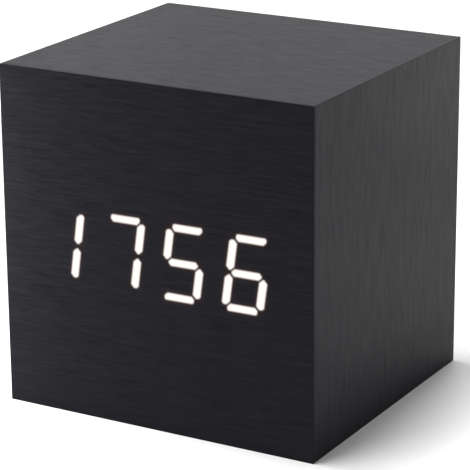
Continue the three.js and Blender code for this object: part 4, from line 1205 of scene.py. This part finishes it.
def batteries(finish):
    """AAA cells turned on their own axis: flat negative end, crimped rim and nub at the other."""
    radius, height, bend = CELL_CRIMP
    angle = np.linspace(0, math.pi, FINE)
    crimp = zip(radius + bend * np.cos(angle), height + bend * np.sin(angle))
    profile = [*CELL_SIDE, *crimp, *CELL_NUB]
    for number in (1, 2, 3):
        node = f"battery_{number}"
        low, high = node_box(node)
        y, z = middle(node)[1:]
        start, way = (high[0], -1) if number % 2 == 1 else (low[0], 1)
        placed = [(r, start + way * h) for r, h in profile]
        skin = turned(placed, CELL_SIDES, (0, y, z), "x")
        piece = build(f"{node}_cell", [skin], finish, "cell_sleeve", replaces=(node,))
        grain_map(piece.data, lambda p: np.stack([(p[:, 0] - start) * way, p[:, 2]], axis=1))


def spring(side, x, y, z, reach):
    """A conical spring: its radius changes evenly along its turns, and its last part lies flat."""
    t = np.linspace(0, 1, SPRING_ROWS)
    turn = math.tau * SPRING_TURNS * t
    radius = SPRING_BASE + (SPRING_TIP - SPRING_BASE) * t
    rise = reach * np.clip(t / SPRING_RISE, 0, 1)
    path = np.stack([x - side * rise, y + radius * np.cos(turn), z + radius * np.sin(turn)], axis=1)
    return tube(path, SPRING_WIRE, SPRING_SIDES)


def battery_contacts(finish):
    """Each contact: a plate with rounded corners, its springs, and its solder tab."""
    y = middle("battery_1")[1]
    for node, (side, sprung, tabbed) in CONTACTS.items():
        low, high = node_box(node)
        outer = low[0] if side < 0 else high[0]
        inner = outer - side * CONTACT_THICKNESS
        left, right = sorted((outer, inner))
        bottom = y - (high[1] - y)
        skins = [slab((left, bottom, low[2]), (right, high[1], high[2]), CONTACT_ROUNDING)]
        for number in sprung:
            reach = high[0] - low[0] - CONTACT_THICKNESS - SPRING_WIRE
            skins.append(spring(side, inner, y, middle(f"battery_{number}")[2], reach))
        if tabbed:
            z = (low[2] + high[2]) / 2
            tab_low = (left, low[1], z - TAB_HALF_WIDTH)
            tab_high = (right, bottom + TAB_OVERLAP, z + TAB_HALF_WIDTH)
            skins.append(slab(tab_low, tab_high, CONTACT_ROUNDING))
        build(node + "_pressing", skins, finish, "plated_steel", replaces=(node,))


# Everything else in the case

# Nodes whose own shape gets rounded edges: the slot, and the width of the rounding.
EASED = {
    "display_reflector": ("reflector_plastic", 0.12),
    "controller_chip": ("chip_resin", 0.06),
    "buzzer": ("insulator", 0.2),
    "storage_capacitor": ("chip_resin", 0.15),
    "quartz_crystal": ("plated_steel", 0.2),
    "temperature_sensor": ("chip_resin", 0.05),
    "power_socket_shell": ("plated_steel", 0.05),
    "power_socket_tongue": ("insulator", 0.06),
    "microphone": ("plated_steel", 0.15),
    **{f"{key}_switch_body": ("plated_steel", 0.08) for key in KEYS},
    "rear_panel": ("black_plastic", 0.09),
    "battery_door": ("black_plastic", 0.12),
}


def inner_pieces(looks):
    """The nodes whose shape is right as it is get their finish, some with eased edges."""
    for node, (slot, width) in EASED.items():
        softened(node, looks[slot], slot, width, DOOR if node == "battery_door" else ROOT)
    slots = {row["node"]: row["material_slot"] for row in frame["record"]["subparts"]}
    for node, piece in frame["nodes"].items():
        piece.data.materials.clear()
        piece.data.materials.append(looks[slots[node]])


# Stage, lamps and camera

FOCAL_LENGTH = 180.05
FILM_WIDTH = 36
CAMERA_AZIMUTH = 29.96
CAMERA_ELEVATION = 17.84
CAMERA_ROLL = -0.44
CAMERA_DISTANCE = 412.3
CAMERA_SHIFT = (-0.14, -2.73)
CAMERA_REACH = (0.01, 20)  # nearest and farthest that it sees, in metres
AIM_HEIGHT = 30.0

AMBIENT = 0.21
FLOOR_SIZE = 3000.0
FLOOR_COLOUR = 0.86
FLOOR_LIFT = 0.05
# Each lamp's azimuth, elevation, distance, width, height and the share of white that it gives.
LAMPS = {
    "key_lamp": (-90.0, 81.3, 2500.0, 400.0, 720.0, 0.60),
    "front_key": (-38.0, 66.0, 2500.0, 900.0, 900.0, 0.42),
    "rear_key": (-163.0, 58.0, 2500.0, 800.0, 800.0, 0.22),
    "back_fill": (165.0, 20.0, 160.0, 60.0, 60.0, 0.043),
    "far_edge_fill": (150.0, 8.0, 120.0, 40.0, 60.0, 0.006),
    "near_fill": (-58.0, 3.0, 70.0, 20.0, 70.0, 0.048),
    "top_sheen": (-130.0, 25.0, 180.0, 80.0, 60.0, 0.0042),
}


def direction(azimuth, elevation):
    """Unit vector from the object: azimuth 0 is the front, 90 its right side."""
    a, e = math.radians(azimuth), math.radians(elevation)
    return Vector((math.sin(a) * math.cos(e), -math.cos(a) * math.cos(e), math.sin(e)))


def camera():
    """The photograph's view, fitted to the cube's corners: back along the view, shifted, rolled."""
    back = direction(CAMERA_AZIMUTH, CAMERA_ELEVATION)
    right = (-back).cross(Vector((0, 0, 1))).normalized()
    up = right.cross(-back)
    cosine, sine = math.cos(math.radians(CAMERA_ROLL)), math.sin(math.radians(CAMERA_ROLL))
    right, up = right * cosine + up * sine, up * cosine - right * sine
    place = back * CAMERA_DISTANCE + right * CAMERA_SHIFT[0] + up * CAMERA_SHIFT[1]
    place.z += AIM_HEIGHT
    lens = bpy.data.cameras.new("photo_camera")
    lens.lens, lens.sensor_width, lens.sensor_fit = FOCAL_LENGTH, FILM_WIDTH, "HORIZONTAL"
    lens.clip_start, lens.clip_end = CAMERA_REACH
    viewer = put("photo_camera", lens)
    viewer.matrix_world = Matrix.Translation(place * MM) @ Matrix((right, up, back)).transposed().to_4x4()
    bpy.context.scene.camera = viewer


def lamp(name, azimuth, elevation, distance, width, height, level):
    """A flat lamp, itself unseen, that adds the given share of white to a white floor."""
    aim = direction(azimuth, elevation)
    light = bpy.data.lights.new(name, "AREA")
    light.shape, light.size, light.size_y = "RECTANGLE", width * MM, height * MM
    light.energy = level * (math.pi * distance * MM) ** 2 / aim.z
    place = Matrix.Translation((aim * distance + Vector((0, 0, AIM_HEIGHT))) * MM)
    holder = put(name, light)
    holder.matrix_world = place @ aim.to_track_quat("Z", "Y").to_matrix().to_4x4()
    holder.visible_camera = False


def seen_directly(nodes):
    """1 for rays from the camera and for reflected and refracted ones, 0 for those that light."""
    camera_ray, glossy_ray, transmission_ray = (
        nodes.node("ShaderNodeLightPath", output=f"Is {kind} Ray")
        for kind in ("Camera", "Glossy", "Transmission")
    )
    return camera_ray.math("MAXIMUM", glossy_ray).math("MAXIMUM", transmission_ray)


def surroundings():
    """A white surround: dim as a lamp, and white where it is seen or reflected."""
    world = bpy.data.worlds.new("surround")
    bpy.context.scene.world = world
    world.use_nodes = True
    nodes = Nodes(world.node_tree)
    colour = nodes.blend(seen_directly(nodes), (AMBIENT,) * 3, WHITE)
    nodes.feed(world.node_tree.nodes["Background"].inputs["Color"], colour)


def floor():
    """A white floor that keeps the object's shadow: matt, and lifted a little where it is seen."""
    mesh = bpy.data.meshes.new("floor")
    half = FLOOR_SIZE / 2 * MM
    corners = [(-half, -half, 0), (half, -half, 0), (half, half, 0), (-half, half, 0)]
    mesh.from_pydata(corners, [], [(0, 1, 2, 3)])
    finish = Finish("floor_paper", roughness=1.0, specular_ior_level=0.0, emission_strength=1.0)
    finish.set(base_color=(FLOOR_COLOUR, FLOOR_COLOUR, FLOOR_COLOUR, 1))
    finish.set(emission_color=finish.blend(seen_directly(finish), DARK, (FLOOR_LIFT,) * 3))
    mesh.materials.append(finish.material)
    put("floor", mesh)


def main():
    bpy.context.scene.view_settings.view_transform = "Standard"
    camera()
    surroundings()
    floor()
    for name, plan in LAMPS.items():
        lamp(name, *plan)

    veneer = veneer_finish("black_veneer", SIDE_BUNDLE_WIDTH)[0].material
    front, rear = (corner[1] for corner in node_box("side_veneer"))
    looks = {
        "black_veneer": veneer,
        "fibreboard": fibreboard_finish(rear),
        "light_guide": guide_finish(front),
        "circuit_board": board_finish(),
        "cell_sleeve": cell_finish(),
        "grey_ribbon": ribbon_finish(),
        **{name: moulded_finish(name, *values) for name, values in MOULDED.items()},
        **{name: metal_finish(name, *values) for name, values in METALS.items()},
    }
    front_veneer(lit_veneer_finish())
    side_veneer(veneer)
    light_guides(looks["light_guide"])
    screws(looks["blackened_steel"])
    buttons(looks["button_plastic"], looks["insulator"])
    printed_marks(ink_finish())
    microphone_felt(looks["insulator"])
    socket_contacts(looks["gold_plating"])
    batteries(looks["cell_sleeve"])
    battery_contacts(looks["plated_steel"])
    inner_pieces(looks)


main()
